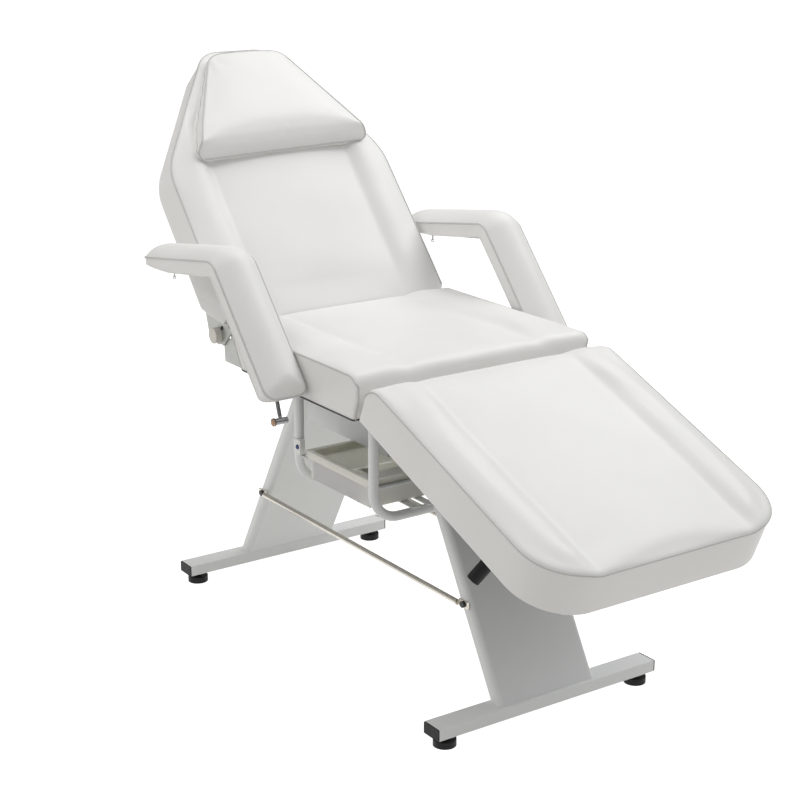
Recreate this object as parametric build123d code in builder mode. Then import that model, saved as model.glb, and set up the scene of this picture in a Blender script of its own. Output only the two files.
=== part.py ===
from build123d import *
import os
from math import acos, atan2, cos, degrees, hypot, radians, sin, sqrt, tan

# A three-section treatment table: a seat on a leaning steel base, a reclining
# back with a head pillow, a leg rest, two swinging arm rests and two sliding
# trays. X runs towards the foot end, Y to the sitter's left and Z up. The
# origin is on the floor under the middle of the table.

os.makedirs("parts", exist_ok=True)

# Main sizes of the three cushions
seat_height = 717
seat_width = 600
seat_rear_x = -299
seat_front_x = 219
cushion_depth = 97
foam_depth = 45
skirt_thickness = 9
back_inset = 14
shoulder_inset = 2
back_shoulder = 405
back_length = 710
back_top_width = 176
leg_rest_inset = 4
leg_rest_rear = -13
leg_rest_front = 618.5
seat_half = seat_width / 2
back_half = (seat_width - back_inset) / 2
leg_half = (seat_width - leg_rest_inset) / 2

# Hinges, and the angles at which the table stands
back_hinge_x = -315
back_hinge_drop = 14
back_angle = 49.3
leg_hinge_x = 233.8
leg_hinge_drop = 85
leg_rest_angle = 21.7

# Base
foot_bar_inset = 35
foot_bar_length = seat_width - foot_bar_inset
foot_bar_width = 50
foot_bar_height = 25
foot_bar_lift = 25
foot_bar_offset = 3.75
leg_lean = 29.6
front_leg_top_x = 132.6
rear_leg_top_x = -248.1
leg_depth = 36
leg_width = 250
leg_corner = 14
sheet_thickness = 2
tie_rod_height = 234

# Fits and cuts shared by all the pieces
pin_radius = 5
running_clearance = 0.05
gap = 0.5
cut_overrun = 5
cloth_thickness = 3
plate_thickness = 4
tube_height = 40
tube_width = 20
tube_wall = 1.5
board_thickness = cushion_depth - foam_depth - tube_height
deep = 1000

# The rails of the three sections and the plates between them, side by side
seat_rail_inset = 36.5
seat_rail_y = seat_half - seat_rail_inset
rail_inner = seat_rail_y - tube_width / 2
rail_outer = seat_rail_y + tube_width / 2
back_plate_y = rail_outer + plate_thickness + gap
back_rail_y = back_plate_y - tube_width / 2
leg_rail_y = rail_inner + tube_width / 2 + gap


def section_frame(x, z, angle):
    """The plane of a section: x to the foot end, y to the left, z out of the cushion."""
    lean = radians(angle)
    return Plane(origin=(x, 0, z), x_dir=(cos(lean), 0, -sin(lean)), z_dir=(sin(lean), 0, cos(lean)))


def across(frame, x=0):
    """A plane across a section at x, with its own x to the left and y out of the cushion."""
    return Plane(origin=frame.from_local_coords((x, 0, 0)), x_dir=frame.y_dir, z_dir=frame.x_dir)


def beside(frame, y=0):
    """A plane along a section at y, facing the near side, so extrusions go to -Y."""
    return Plane(origin=frame.from_local_coords((0, y, 0)), x_dir=frame.x_dir, z_dir=-frame.y_dir)


def save(part, name):
    part.label = name
    export_step(part, f"parts/{name}.step")


def block(frame, near, far, y_low, y_high, low, high, mode=Mode.ADD):
    """A rectangular block of a section between two values along each of its axes."""
    with BuildSketch(frame.offset(low)) as footprint:
        with Locations(((near + far) / 2, (y_low + y_high) / 2)):
            Rectangle(far - near, y_high - y_low)
    extrude(footprint.sketch, amount=high - low, mode=mode)


def peg(frame, x, level, radius, y_low, y_high, mode=Mode.ADD):
    """A round peg along Y between two sides, centred at x and level in a section."""
    with BuildSketch(beside(frame, y_high)) as disc:
        with Locations((x, level)):
            Circle(radius)
    extrude(disc.sketch, amount=y_high - y_low, mode=mode)


def sheet(frame, outline, y_low, y_high, mode=Mode.ADD):
    """A flat sheet along a section with the given outline, between two sides."""
    with BuildSketch(beside(frame, y_high)) as profile:
        Polygon(*outline, align=None)
    extrude(profile.sketch, amount=y_high - y_low, mode=mode)


def rail(frame, start, end, y, low):
    """A rectangular tube along a section, centred at y, with its underside at low."""
    with BuildSketch(across(frame, start)) as profile:
        with Locations((y, low + tube_height / 2)):
            Rectangle(tube_width, tube_height)
            Rectangle(tube_width - 2 * tube_wall, tube_height - 2 * tube_wall, mode=Mode.SUBTRACT)
    extrude(profile.sketch, amount=end - start)


def cross_tube(frame, x, half, low):
    """A rectangular tube across a section at x, with its underside at low."""
    with BuildSketch(beside(frame, half)) as profile:
        with Locations((x, low + tube_height / 2)):
            Rectangle(tube_width, tube_height)
            Rectangle(tube_width - 2 * tube_wall, tube_height - 2 * tube_wall, mode=Mode.SUBTRACT)
    extrude(profile.sketch, amount=2 * half)


floor = section_frame(0, 0, 0)
seat = section_frame(0, seat_height, 0)
back_hinge_z = seat_height - back_hinge_drop
leg_hinge_z = seat_height - leg_hinge_drop
back = section_frame(back_hinge_x, back_hinge_z, back_angle)
leg_rest = section_frame(leg_hinge_x, leg_hinge_z, leg_rest_angle)

# Levels of the boards, frames and underside cloths, below a cushion's top
board_top = -foam_depth
frame_top = board_top - board_thickness
frame_low = -cushion_depth
cloth_low = frame_low - cloth_thickness

# Cushions. Each has raised side bolsters, a shallow dished middle with a faint
# crown, rolled ends, and sides that draw in above and below their middle.
bolster_rise = 13
dish_crown = 4
edge_drop = 3
end_roll = 8
end_share = 0.15
near_end_share = 0.8
side_draw = 3
loft_margin = 8
side_taper = degrees(atan2(side_draw, cushion_depth / 2))


def cushion_section(frame, level, x, half, crease, share):
    """One outline across a cushion: flat below, two bolsters and a dished middle on top."""
    drop = edge_drop + end_roll * (1 - share)
    outer = half + loft_margin
    low = level - cushion_depth
    top = level - drop
    middle = level - drop / 2
    ridge = middle + bolster_rise * share
    with BuildSketch(across(frame, x)) as section:
        with BuildLine():
            Polyline((-outer, top), (-outer, low), (outer, low), (outer, top))
            ThreePointArc((outer, top), ((outer + crease) / 2, ridge), (crease, middle))
            ThreePointArc((crease, middle), (0, middle + dish_crown * share), (-crease, middle))
            ThreePointArc((-crease, middle), (-(outer + crease) / 2, ridge), (-outer, top))
        make_face()
    return section.sketch


def crowned_block(frame, level, start, end, half, crease):
    """The lofted block that a cushion is cut from, a little longer than the cushion."""
    length = end - start
    stations = [
        (start - loft_margin, end_share),
        (start + length / 16, near_end_share),
        (start + length / 3, 1),
        (end - length / 3, 1),
        (end - length / 16, near_end_share),
        (end + loft_margin, end_share),
    ]
    loft([cushion_section(frame, level, x, half, crease, share) for x, share in stations])


def trim_sides(frame, level, outline):
    """Cut a cushion to its outline, with sides that draw in above and below the middle."""
    with BuildSketch(frame.offset(level - cushion_depth / 2)) as middle:
        add(outline)
    reach = cushion_depth / 2 + bolster_rise
    extrude(middle.sketch, amount=reach, both=True, taper=side_taper, mode=Mode.INTERSECT)


roll_run = 50
roll_rise = 10
roll_middle_run = 13
roll_middle_drop = 9
roll_drop = 45


def roll_end(frame, level, end, direction):
    """Round a cushion's top over one end, where the top panel wraps down."""
    with BuildSketch(beside(frame, deep)) as corner:
        with BuildLine():
            roll = ThreePointArc(
                (end - direction * roll_run, level + roll_rise),
                (end - direction * roll_middle_run, level - roll_middle_drop),
                (end, level - roll_drop),
            )
            Polyline(
                roll @ 1,
                (end + direction * roll_run, level - roll_drop),
                (end + direction * roll_run, level + roll_run),
                (end - direction * roll_run, level + roll_run),
                roll @ 0,
            )
        make_face()
    extrude(corner.sketch, amount=2 * deep, mode=Mode.SUBTRACT)


# Seat cushion, cut to a slope at the rear and open below for its frame
seat_corner = 8
seat_crease_inset = 128
seat_crease = seat_half - seat_crease_inset
seat_rear_slope = 54
seat_tuck = 12
seat_tuck_drop = 62
seat_inside = seat_half - skirt_thickness
ear_slot_room = 4.5
ear_slot_low = rail_inner - plate_thickness - ear_slot_room
ear_slot_high = rail_inner + ear_slot_room
ear_slot_drop = 67
arm_pivot_x = 19
arm_pivot_drop = 70
arm_pivot_z = seat_height - arm_pivot_drop
arm_stub_radius = 9
arm_hole_radius = 11
seat_length = seat_front_x - seat_rear_x
seat_board_front = seat_front_x - seat_tuck - skirt_thickness

with BuildSketch() as seat_outline:
    with Locations(((seat_front_x + seat_rear_x) / 2, 0)):
        Rectangle(seat_length, seat_width)
    fillet(seat_outline.vertices().group_by(Axis.X)[-1], seat_corner)

with BuildPart() as seat_cushion:
    crowned_block(seat, 0, seat_rear_x, seat_front_x, seat_half, seat_crease)
    trim_sides(seat, 0, seat_outline.sketch)
    sheet(
        seat,
        [
            (seat_rear_x - seat_rear_slope, -deep),
            (seat_rear_x + seat_rear_slope, -deep),
            (seat_rear_x + seat_rear_slope, -cushion_depth),
            (seat_rear_x, 0),
            (seat_rear_x - seat_rear_slope, 0),
        ],
        -deep,
        deep,
        mode=Mode.SUBTRACT,
    )
    roll_end(seat, 0, seat_front_x, 1)
    sheet(
        seat,
        [(seat_front_x, -seat_tuck_drop), (seat_front_x - seat_tuck, -cushion_depth), (seat_front_x, -cushion_depth)],
        -deep,
        deep,
        mode=Mode.SUBTRACT,
    )
    block(seat, -deep, seat_board_front, -seat_inside, seat_inside, -deep, board_top, mode=Mode.SUBTRACT)
    for side in (-1, 1):
        slot = sorted((side * ear_slot_low, side * ear_slot_high))
        block(seat, 0, deep, slot[0], slot[1], -deep, -ear_slot_drop, mode=Mode.SUBTRACT)
    peg(floor, arm_pivot_x, arm_pivot_z, arm_hole_radius, -deep, deep, mode=Mode.SUBTRACT)
save(seat_cushion.part, "seat_cushion")

# Back cushion: straight sides to the shoulders, then a head that narrows
shoulder_radius = 150
head_radius = 70
back_crease_inset = 105
back_crease = back_half - back_crease_inset
back_end_x = -87
back_end_w = back_hinge_drop - cushion_depth
back_end_reach = hypot(back_end_x, back_end_w)
tangent_turn = atan2(back_end_w, back_end_x) + acos(back_hinge_drop / back_end_reach)
tangent_x = back_hinge_drop * cos(tangent_turn)
tangent_w = back_hinge_drop * sin(tangent_turn)
back_inside = back_half - skirt_thickness
back_board_rear = -60
notch_margin = 5
notch_side = rail_outer - notch_margin
notch_radius = 12

with BuildSketch() as back_outline:
    with BuildLine():
        Polyline(
            (back_hinge_drop, -back_half),
            (back_hinge_drop, back_half),
            (-back_shoulder, back_half - shoulder_inset),
            (-back_length, back_top_width / 2),
            (-back_length, -back_top_width / 2),
            (-back_shoulder, shoulder_inset - back_half),
            close=True,
        )
    make_face()
    fillet(back_outline.vertices().group_by(Axis.X)[1], shoulder_radius)
    fillet(back_outline.vertices().group_by(Axis.X)[0], head_radius)

with BuildSketch() as back_pocket:
    offset(back_outline.sketch, amount=-skirt_thickness)
    with Locations((back_length / 2 - back_length, 0)):
        Rectangle(2 * back_length, 2 * back_inside, mode=Mode.INTERSECT)

with BuildPart() as back_cushion:
    crowned_block(back, back_hinge_drop, -back_length, back_hinge_drop, back_half, back_crease)
    trim_sides(back, back_hinge_drop, back_outline.sketch)
    with BuildSketch(beside(back, deep)):
        with BuildLine():
            Polyline(
                (tangent_x, tangent_w),
                (0, 0),
                (0, deep),
                (-deep, deep),
                (-deep, -deep),
                (back_end_x, -deep),
                (back_end_x, back_end_w),
                (tangent_x, tangent_w),
            )
        make_face()
        Circle(back_hinge_drop)
    extrude(amount=2 * deep, mode=Mode.INTERSECT)
    with BuildSketch(back.offset(back_hinge_drop + board_top)):
        add(back_pocket.sketch)
        with Locations((back_end_x, 0)):
            Rectangle(-2 * back_end_x, 2 * back_inside)
    extrude(amount=-deep, mode=Mode.SUBTRACT)
    for low, high in ((-deep, -notch_side), (notch_side, deep)):
        peg(back, 0, 0, notch_radius, low, high, mode=Mode.SUBTRACT)
        sheet(back, [(0, 0), (-deep, -deep), (deep, -deep), (deep, deep), (0, deep)], low, high, mode=Mode.SUBTRACT)
save(back_cushion.part, "back_cushion")

# Leg rest cushion, with widely rounded corners at the foot end
foot_corner = 116
leg_rear_corner = 8
leg_crease_inset = 108
leg_crease = leg_half - leg_crease_inset
leg_inside = leg_half - skirt_thickness
leg_length = leg_rest_front - leg_rest_rear

with BuildSketch() as leg_outline:
    with Locations(((leg_rest_front + leg_rest_rear) / 2, 0)):
        Rectangle(leg_length, 2 * leg_half)
    fillet(leg_outline.vertices().group_by(Axis.X)[-1], foot_corner)
    fillet(leg_outline.vertices().group_by(Axis.X)[0], leg_rear_corner)

with BuildSketch() as leg_pocket:
    with Locations(((leg_rest_front + leg_rest_rear) / 2 - leg_length, 0)):
        Rectangle(3 * leg_length - 2 * skirt_thickness, 2 * leg_inside)
    fillet(leg_pocket.vertices().group_by(Axis.X)[-1], foot_corner - skirt_thickness)

with BuildPart() as leg_rest_cushion:
    crowned_block(leg_rest, leg_hinge_drop, leg_rest_rear, leg_rest_front, leg_half, leg_crease)
    trim_sides(leg_rest, leg_hinge_drop, leg_outline.sketch)
    roll_end(leg_rest, leg_hinge_drop, leg_rest_rear, -1)
    with BuildSketch(leg_rest.offset(leg_hinge_drop + board_top)):
        add(leg_pocket.sketch)
    extrude(amount=-deep, mode=Mode.SUBTRACT)
save(leg_rest_cushion.part, "leg_rest_cushion")

# Head pillow: a wedge on the narrowing head, cut to fit the cushion below it
pillow_low_gap = 15
pillow_high_gap = 22
pillow_low_x = -back_shoulder - pillow_low_gap
pillow_high_x = pillow_high_gap - back_length
pillow_inset = 60
pillow_low_half = back_half - pillow_inset
pillow_high_half = 96
pillow_shift = 12
pillow_low_thickness = 50
pillow_high_thickness = 20
pillow_crown = 6
pillow_bevel = 24
pillow_bevel_foot = 6
pillow_low_corner = 26
pillow_high_corner = 40
pillow_side_taper = 3


def pillow_section(x, thickness):
    """One outline across the pillow, with a crowned front and room to cut its underside."""
    top = back_hinge_drop + thickness
    outer = pillow_low_half + loft_margin
    left = pillow_shift - outer
    right = pillow_shift + outer
    with BuildSketch(across(back, x)) as section:
        with BuildLine():
            Polyline((left, top), (left, 0), (right, 0), (right, top))
            ThreePointArc((right, top), (pillow_shift, top + pillow_crown), (left, top))
        make_face()
    return section.sketch


with BuildSketch() as pillow_outline:
    with BuildLine():
        Polyline(
            (pillow_low_x, pillow_shift - pillow_low_half),
            (pillow_low_x, pillow_shift + pillow_low_half),
            (pillow_high_x, pillow_shift + pillow_high_half),
            (pillow_high_x, pillow_shift - pillow_high_half),
            close=True,
        )
    make_face()
    fillet(pillow_outline.vertices().group_by(Axis.X)[-1], pillow_low_corner)
    fillet(pillow_outline.vertices().group_by(Axis.X)[0], pillow_high_corner)

with BuildPart() as head_pillow:
    loft([
        pillow_section(pillow_high_x - loft_margin, pillow_high_thickness),
        pillow_section(pillow_low_x + loft_margin, pillow_low_thickness),
    ])
    with BuildSketch(back.offset(back_hinge_drop)):
        add(pillow_outline.sketch)
    extrude(amount=pillow_low_thickness * 2, both=True, taper=pillow_side_taper, mode=Mode.INTERSECT)
    sheet(
        back,
        [
            (pillow_low_x, back_hinge_drop),
            (pillow_low_x, back_hinge_drop + pillow_bevel_foot),
            (pillow_low_x - pillow_bevel, back_hinge_drop + pillow_low_thickness),
            (pillow_low_x - pillow_bevel, back_hinge_drop + 2 * pillow_low_thickness),
            (0, back_hinge_drop + 2 * pillow_low_thickness),
            (0, back_hinge_drop),
        ],
        -deep,
        deep,
        mode=Mode.SUBTRACT,
    )
    add(back_cushion.part, mode=Mode.SUBTRACT)
save(head_pillow.part, "head_pillow")

# Seat frame: two side rails, cross tubes and a board under the foam
seat_rail_rear = -327
seat_rail_front = seat_board_front - gap
seat_board_rear = -264
seat_board_width = 2 * (seat_inside - gap)
seat_cross_xs = (-225, arm_pivot_x, 160)

with BuildPart() as seat_frame_rails:
    rail(seat, seat_rail_rear, seat_rail_front, seat_rail_y, frame_low)
    mirror(about=Plane.XZ)
save(seat_frame_rails.part, "seat_frame_rails")

with BuildPart() as seat_cross_tubes:
    for x in seat_cross_xs:
        cross_tube(seat, x, rail_inner, frame_low)
save(seat_cross_tubes.part, "seat_cross_tubes")

with BuildPart() as seat_board:
    block(
        seat,
        seat_board_rear,
        seat_board_front - gap,
        -seat_board_width / 2,
        seat_board_width / 2,
        frame_top,
        board_top,
    )
save(seat_board.part, "seat_board")

seat_cloth_rear = -238
with BuildPart() as seat_underside_cloth:
    block(
        seat,
        seat_cloth_rear,
        seat_board_front - gap,
        -seat_board_width / 2,
        seat_board_width / 2,
        cloth_low,
        frame_low,
    )
save(seat_underside_cloth.part, "seat_underside_cloth")

# Hinge plates of the seat: a pair at the rear outside the rails, and a pair
# of ears at the front inside them
plate_boss = 11
seat_plate_foot = -92
seat_plate_outline = [
    (0, 0),
    (-plate_boss * sqrt(2) / 2, -plate_boss * sqrt(2) / 2),
    (-12, -25),
    (-12, -36),
    (-45, -36),
    (-41, seat_plate_foot),
    (44, seat_plate_foot),
    (36, -43),
    (plate_boss, 0),
]
hinge_level = section_frame(back_hinge_x, back_hinge_z, 0)
ear_level = section_frame(leg_hinge_x, leg_hinge_z, 0)
ear_radius = 14
ear_rear = -60
ear_low = -12

with BuildPart() as seat_hinge_plates:
    sheet(hinge_level, seat_plate_outline, rail_outer, rail_outer + plate_thickness)
    peg(hinge_level, 0, 0, plate_boss, rail_outer, rail_outer + plate_thickness)
    peg(hinge_level, 0, 0, pin_radius + running_clearance, -deep, deep, mode=Mode.SUBTRACT)
    block(ear_level, ear_rear, 0, rail_inner - plate_thickness, rail_inner, ear_low, ear_radius)
    peg(ear_level, 0, 0, ear_radius, rail_inner - plate_thickness, rail_inner)
    peg(ear_level, 0, 0, pin_radius + running_clearance, rail_inner - tube_width, rail_inner, mode=Mode.SUBTRACT)
    mirror(about=Plane.XZ)
save(seat_hinge_plates.part, "seat_hinge_plates")

arm_gap = 4
arm_inner_y = seat_half + arm_gap
stub_length = 81
stub_end = arm_inner_y + stub_length
with BuildPart() as arm_stubs:
    peg(floor, arm_pivot_x, arm_pivot_z, arm_stub_radius, rail_outer, stub_end)
    mirror(about=Plane.XZ)
save(arm_stubs.part, "arm_stubs")

# Back frame, hinge plates, pins and the white caps over the plates
back_rail_near = -70
rail_shoulder_gap = 20
back_rail_far = rail_shoulder_gap - back_shoulder
back_low = back_hinge_drop + frame_low
back_plate_outline = [
    (0, 0),
    (-33, -33.5),
    (back_rail_near + tube_width, back_low + tube_height),
    (-150, back_low + tube_height),
    (-150, back_low),
    (back_end_x, back_low),
    (-31, -108),
    (16, -66),
    (plate_boss, 0),
]
cap_x = -14
cap_w = -70
cap_radius = 18
cap_length = 15
cap_land = 22
back_cross_near = -145
shoulder_cross_gap = 30
back_cross_xs = (back_cross_near, shoulder_cross_gap - back_shoulder)
strut_lug_inner = 17.5
strut_lug_thickness = 5
strut_lug_radius = 12
strut_base_x = -278
strut_base_drop = 227
strut_base_z = seat_height - strut_base_drop
strut_reach = hypot(strut_base_x - back_hinge_x, strut_base_z - back_hinge_z)
back_strut_w = -100
back_strut_x = -sqrt(strut_reach**2 - back_strut_w**2)
strut_pin_radius = 6
head_rail_gap = 43
head_rail_far = head_rail_gap - back_length
head_rail_inset = 45
head_rail_near_y = back_half - head_rail_inset
head_rail_far_y = 62
lever_radius = 4.25
lever_drop = 18
lever_start = 15
lever_bend = 110
lever_hanger_ys = (22, 96)
lever_hanger_thickness = 4
lever_hanger_radius = 9
back_lever_x = -300
leg_lever_x = 336
lever_mount_width = 10


def strut_lugs(frame, x, level, tube_low):
    """A pair of lugs under a cross tube for the pin at the top of a strut."""
    for side in (-1, 1):
        ends = sorted((side * strut_lug_inner, side * (strut_lug_inner + strut_lug_thickness)))
        peg(frame, x, level, strut_lug_radius, ends[0], ends[1])
        block(frame, x - strut_lug_radius, x + strut_lug_radius, ends[0], ends[1], level, tube_low)
    peg(frame, x, level, strut_pin_radius, -strut_lug_inner * 2, strut_lug_inner * 2, mode=Mode.SUBTRACT)


def lever_hangers(frame, x, side, tube_low):
    """Two drilled hangers under a cross tube that carry a release lever."""
    for y in lever_hanger_ys:
        ends = sorted((side * y, side * (y + lever_hanger_thickness)))
        peg(frame, x, tube_low - lever_drop, lever_hanger_radius, ends[0], ends[1])
        block(
            frame,
            x - lever_hanger_radius,
            x + lever_hanger_radius,
            ends[0],
            ends[1],
            tube_low - lever_drop,
            tube_low,
        )
        peg(
            frame,
            x,
            tube_low - lever_drop,
            lever_radius + running_clearance,
            ends[0],
            ends[1],
            mode=Mode.SUBTRACT,
        )


with BuildPart() as back_frame_rails:
    rail(back, back_rail_far, back_rail_near, back_rail_y, back_low)
    with BuildSketch(back.offset(back_low)) as head_rail:
        Polygon(
            (back_rail_far - tube_width / 2, head_rail_near_y),
            (head_rail_far, head_rail_far_y),
            (head_rail_far, head_rail_far_y - tube_width),
            (back_rail_far - tube_width / 2, head_rail_near_y - tube_width),
            align=None,
        )
    extrude(head_rail.sketch, amount=tube_height)
    mirror(about=Plane.XZ)
save(back_frame_rails.part, "back_frame_rails")

with BuildPart() as back_cross_tubes:
    for x in back_cross_xs:
        cross_tube(back, x, back_rail_y - tube_width / 2, back_low)
    cross_tube(back, back_strut_x, back_rail_y - tube_width / 2, back_low)
    cross_tube(back, back_lever_x, back_rail_y - tube_width / 2, back_low)
    cross_tube(back, head_rail_far - tube_width / 2, head_rail_far_y, back_low)
    strut_lugs(back, back_strut_x, back_strut_w, back_low)
    lever_hangers(back, back_lever_x, 1, back_low)
save(back_cross_tubes.part, "back_cross_tubes")

with BuildPart() as back_board:
    with BuildSketch(back.offset(back_low + tube_height)):
        offset(back_outline.sketch, amount=-skirt_thickness - gap)
        with Locations((back_board_rear - back_length / 2, 0)):
            Rectangle(back_length, 2 * (back_inside - gap), mode=Mode.INTERSECT)
    extrude(amount=board_thickness)
save(back_board.part, "back_board")

back_cloth_rear = -152
window_margin = 6
with BuildPart() as back_underside_cloth:
    with BuildSketch(back.offset(back_low - cloth_thickness)):
        offset(back_outline.sketch, amount=-skirt_thickness - gap)
        with Locations((back_cloth_rear - back_length / 2, 0)):
            Rectangle(back_length, 2 * (back_inside - gap), mode=Mode.INTERSECT)
        with Locations((back_strut_x, 0)):
            Rectangle(
                2 * (strut_lug_radius + window_margin),
                2 * (strut_lug_inner + strut_lug_thickness + window_margin),
                mode=Mode.SUBTRACT,
            )
        with Locations((back_lever_x, (lever_start + lever_bend) / 2)):
            Rectangle(
                2 * (lever_hanger_radius + window_margin),
                lever_bend - lever_start + 2 * window_margin,
                mode=Mode.SUBTRACT,
            )
    extrude(amount=cloth_thickness)
save(back_underside_cloth.part, "back_underside_cloth")

with BuildPart() as back_hinge_plates:
    sheet(back, back_plate_outline, back_plate_y, back_plate_y + plate_thickness)
    peg(back, 0, 0, plate_boss, back_plate_y, back_plate_y + plate_thickness)
    peg(back, cap_x, cap_w, cap_land, back_plate_y, back_plate_y + plate_thickness)
    peg(back, 0, 0, pin_radius, back_plate_y, back_plate_y + plate_thickness, mode=Mode.SUBTRACT)
    mirror(about=Plane.XZ)
save(back_hinge_plates.part, "back_hinge_plates")

strut_pin_head = 9
strut_pin_head_length = 4
strut_pin_half = strut_lug_inner + strut_lug_thickness


def cross_pin(frame, x, level):
    """A headed pin through a pair of lugs and the eye of a strut."""
    peg(frame, x, level, strut_pin_radius, -strut_pin_half, strut_pin_half)
    peg(frame, x, level, strut_pin_head, strut_pin_half, strut_pin_half + strut_pin_head_length)
    peg(frame, x, level, strut_pin_head, -strut_pin_half - strut_pin_head_length, -strut_pin_half)


pin_head_radius = 8
pin_head_length = 4
with BuildPart() as back_hinge_pins:
    peg(back, 0, 0, pin_radius, rail_outer - gap, back_plate_y + plate_thickness)
    peg(
        back,
        0,
        0,
        pin_head_radius,
        back_plate_y + plate_thickness,
        back_plate_y + plate_thickness + pin_head_length,
    )
    peg(back, 0, 0, pin_head_radius, rail_outer - gap - pin_head_length, rail_outer - gap)
    mirror(about=Plane.XZ)
    cross_pin(back, back_strut_x, back_strut_w)
save(back_hinge_pins.part, "back_hinge_pins")

cap_edge = 2
with BuildPart() as back_plate_caps:
    peg(
        back,
        cap_x,
        cap_w,
        cap_radius,
        back_plate_y + plate_thickness,
        back_plate_y + plate_thickness + cap_length,
    )
    fillet(back_plate_caps.faces().sort_by(Axis.Y)[-1].edges(), cap_edge)
    mirror(about=Plane.XZ)
save(back_plate_caps.part, "back_plate_caps")

# Leg rest frame
leg_rail_rear = -10
leg_rail_front = 550
leg_low = leg_hinge_drop + frame_low
leg_strut_base_x = 132
leg_strut_base_drop = 217
leg_strut_base_z = seat_height - leg_strut_base_drop
leg_strut_reach = hypot(leg_strut_base_x - leg_hinge_x, leg_strut_base_z - leg_hinge_z)
leg_strut_w = -27
leg_strut_x = sqrt(leg_strut_reach**2 - leg_strut_w**2)
leg_cross_xs = (60, leg_strut_x, leg_lever_x, 540)
leg_cloth_rear = 22

with BuildPart() as leg_frame_rails:
    rail(leg_rest, leg_rail_rear, leg_rail_front, leg_rail_y, leg_low)
    peg(leg_rest, 0, 0, pin_radius, leg_rail_y - tube_width, leg_rail_y + tube_width, mode=Mode.SUBTRACT)
    mirror(about=Plane.XZ)
save(leg_frame_rails.part, "leg_frame_rails")

with BuildPart() as leg_cross_tubes:
    for x in leg_cross_xs:
        cross_tube(leg_rest, x, leg_rail_y - tube_width / 2, leg_low)
    strut_lugs(leg_rest, leg_strut_x, leg_strut_w, leg_low)
    lever_hangers(leg_rest, leg_lever_x, -1, leg_low)
save(leg_cross_tubes.part, "leg_cross_tubes")

with BuildSketch() as leg_board_outline:
    offset(leg_outline.sketch, amount=-skirt_thickness - gap)

with BuildPart() as leg_board:
    with BuildSketch(leg_rest.offset(leg_low + tube_height)):
        add(leg_board_outline.sketch)
    extrude(amount=board_thickness)
save(leg_board.part, "leg_board")

with BuildPart() as leg_underside_cloth:
    with BuildSketch(leg_rest.offset(leg_low - cloth_thickness)):
        add(leg_board_outline.sketch)
        with Locations((leg_cloth_rear + leg_length / 2, 0)):
            Rectangle(leg_length, 2 * leg_half, mode=Mode.INTERSECT)
        with Locations((leg_strut_x, 0)):
            Rectangle(
                2 * (strut_lug_radius + window_margin),
                2 * (strut_lug_inner + strut_lug_thickness + window_margin),
                mode=Mode.SUBTRACT,
            )
        with Locations((leg_lever_x, -(lever_start + lever_bend) / 2)):
            Rectangle(
                2 * (lever_hanger_radius + window_margin),
                lever_bend - lever_start + 2 * window_margin,
                mode=Mode.SUBTRACT,
            )
    extrude(amount=cloth_thickness)
save(leg_underside_cloth.part, "leg_underside_cloth")

leg_pin_in = rail_inner - plate_thickness - gap
with BuildPart() as leg_hinge_pins:
    peg(leg_rest, 0, 0, pin_radius, leg_pin_in, leg_rail_y + tube_width / 2)
    peg(leg_rest, 0, 0, pin_head_radius, leg_pin_in - pin_head_length, leg_pin_in)
    peg(
        leg_rest,
        0,
        0,
        pin_head_radius,
        leg_rail_y + tube_width / 2,
        leg_rail_y + tube_width / 2 + pin_head_length,
    )
    mirror(about=Plane.XZ)
    cross_pin(leg_rest, leg_strut_x, leg_strut_w)
save(leg_hinge_pins.part, "leg_hinge_pins")

# Base: foot bars, two leaning legs folded from sheet, chassis and centre box
bar_centre_z = foot_bar_lift + foot_bar_height / 2
leg_bottom = foot_bar_lift + foot_bar_height
chassis_top = seat_height + cloth_low
chassis_under = chassis_top - cloth_thickness
chassis_low = chassis_top - tube_width
chassis_half = 170
chassis_rear = -300
chassis_front = 215
outrigger_inset = 38
outrigger_half = seat_half - outrigger_inset
outrigger_width = 34
hoop_front_x = 202
hoop_rear_x = -85
hoop_inset = 50
hoop_half = seat_half - hoop_inset
hoop_radius = 10.5
hoop_run_drop = 322
hoop_run_z = seat_height - hoop_run_drop
hoop_bend = 60
hoop_wall = 1.5
end_cap_depth = 3
end_cap_plug = 18
stud_radius = 5
foot_pad_radius = 24
foot_pad_height = 14
foot_stud_top = 40
foot_inset = 30.5
foot_y = foot_bar_length / 2 - foot_inset
foot_nut_radius = 9
foot_nut_low = 17
foot_nut_high = 22
lean_run = tan(radians(leg_lean))
lean_sin = sin(radians(leg_lean))
lean_cos = cos(radians(leg_lean))
front_axis_x = front_leg_top_x + (chassis_under - leg_bottom) * lean_run
rear_axis_x = rear_leg_top_x - (chassis_under - leg_bottom) * lean_run
front_bar_x = front_axis_x + foot_bar_offset
rear_bar_x = rear_axis_x - foot_bar_offset
tie_rod_y = 131.2
tie_rod_radius = 6
tie_bolt_radius = 4
strut_window_half = 17
rear_window_low_drop = 243
rear_window_high_drop = 131
front_window_low_drop = 239
front_window_high_drop = 161
rear_window_low = seat_height - rear_window_low_drop
rear_window_high = seat_height - rear_window_high_drop
front_window_low = seat_height - front_window_low_drop
front_window_high = seat_height - front_window_high_drop


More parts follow.
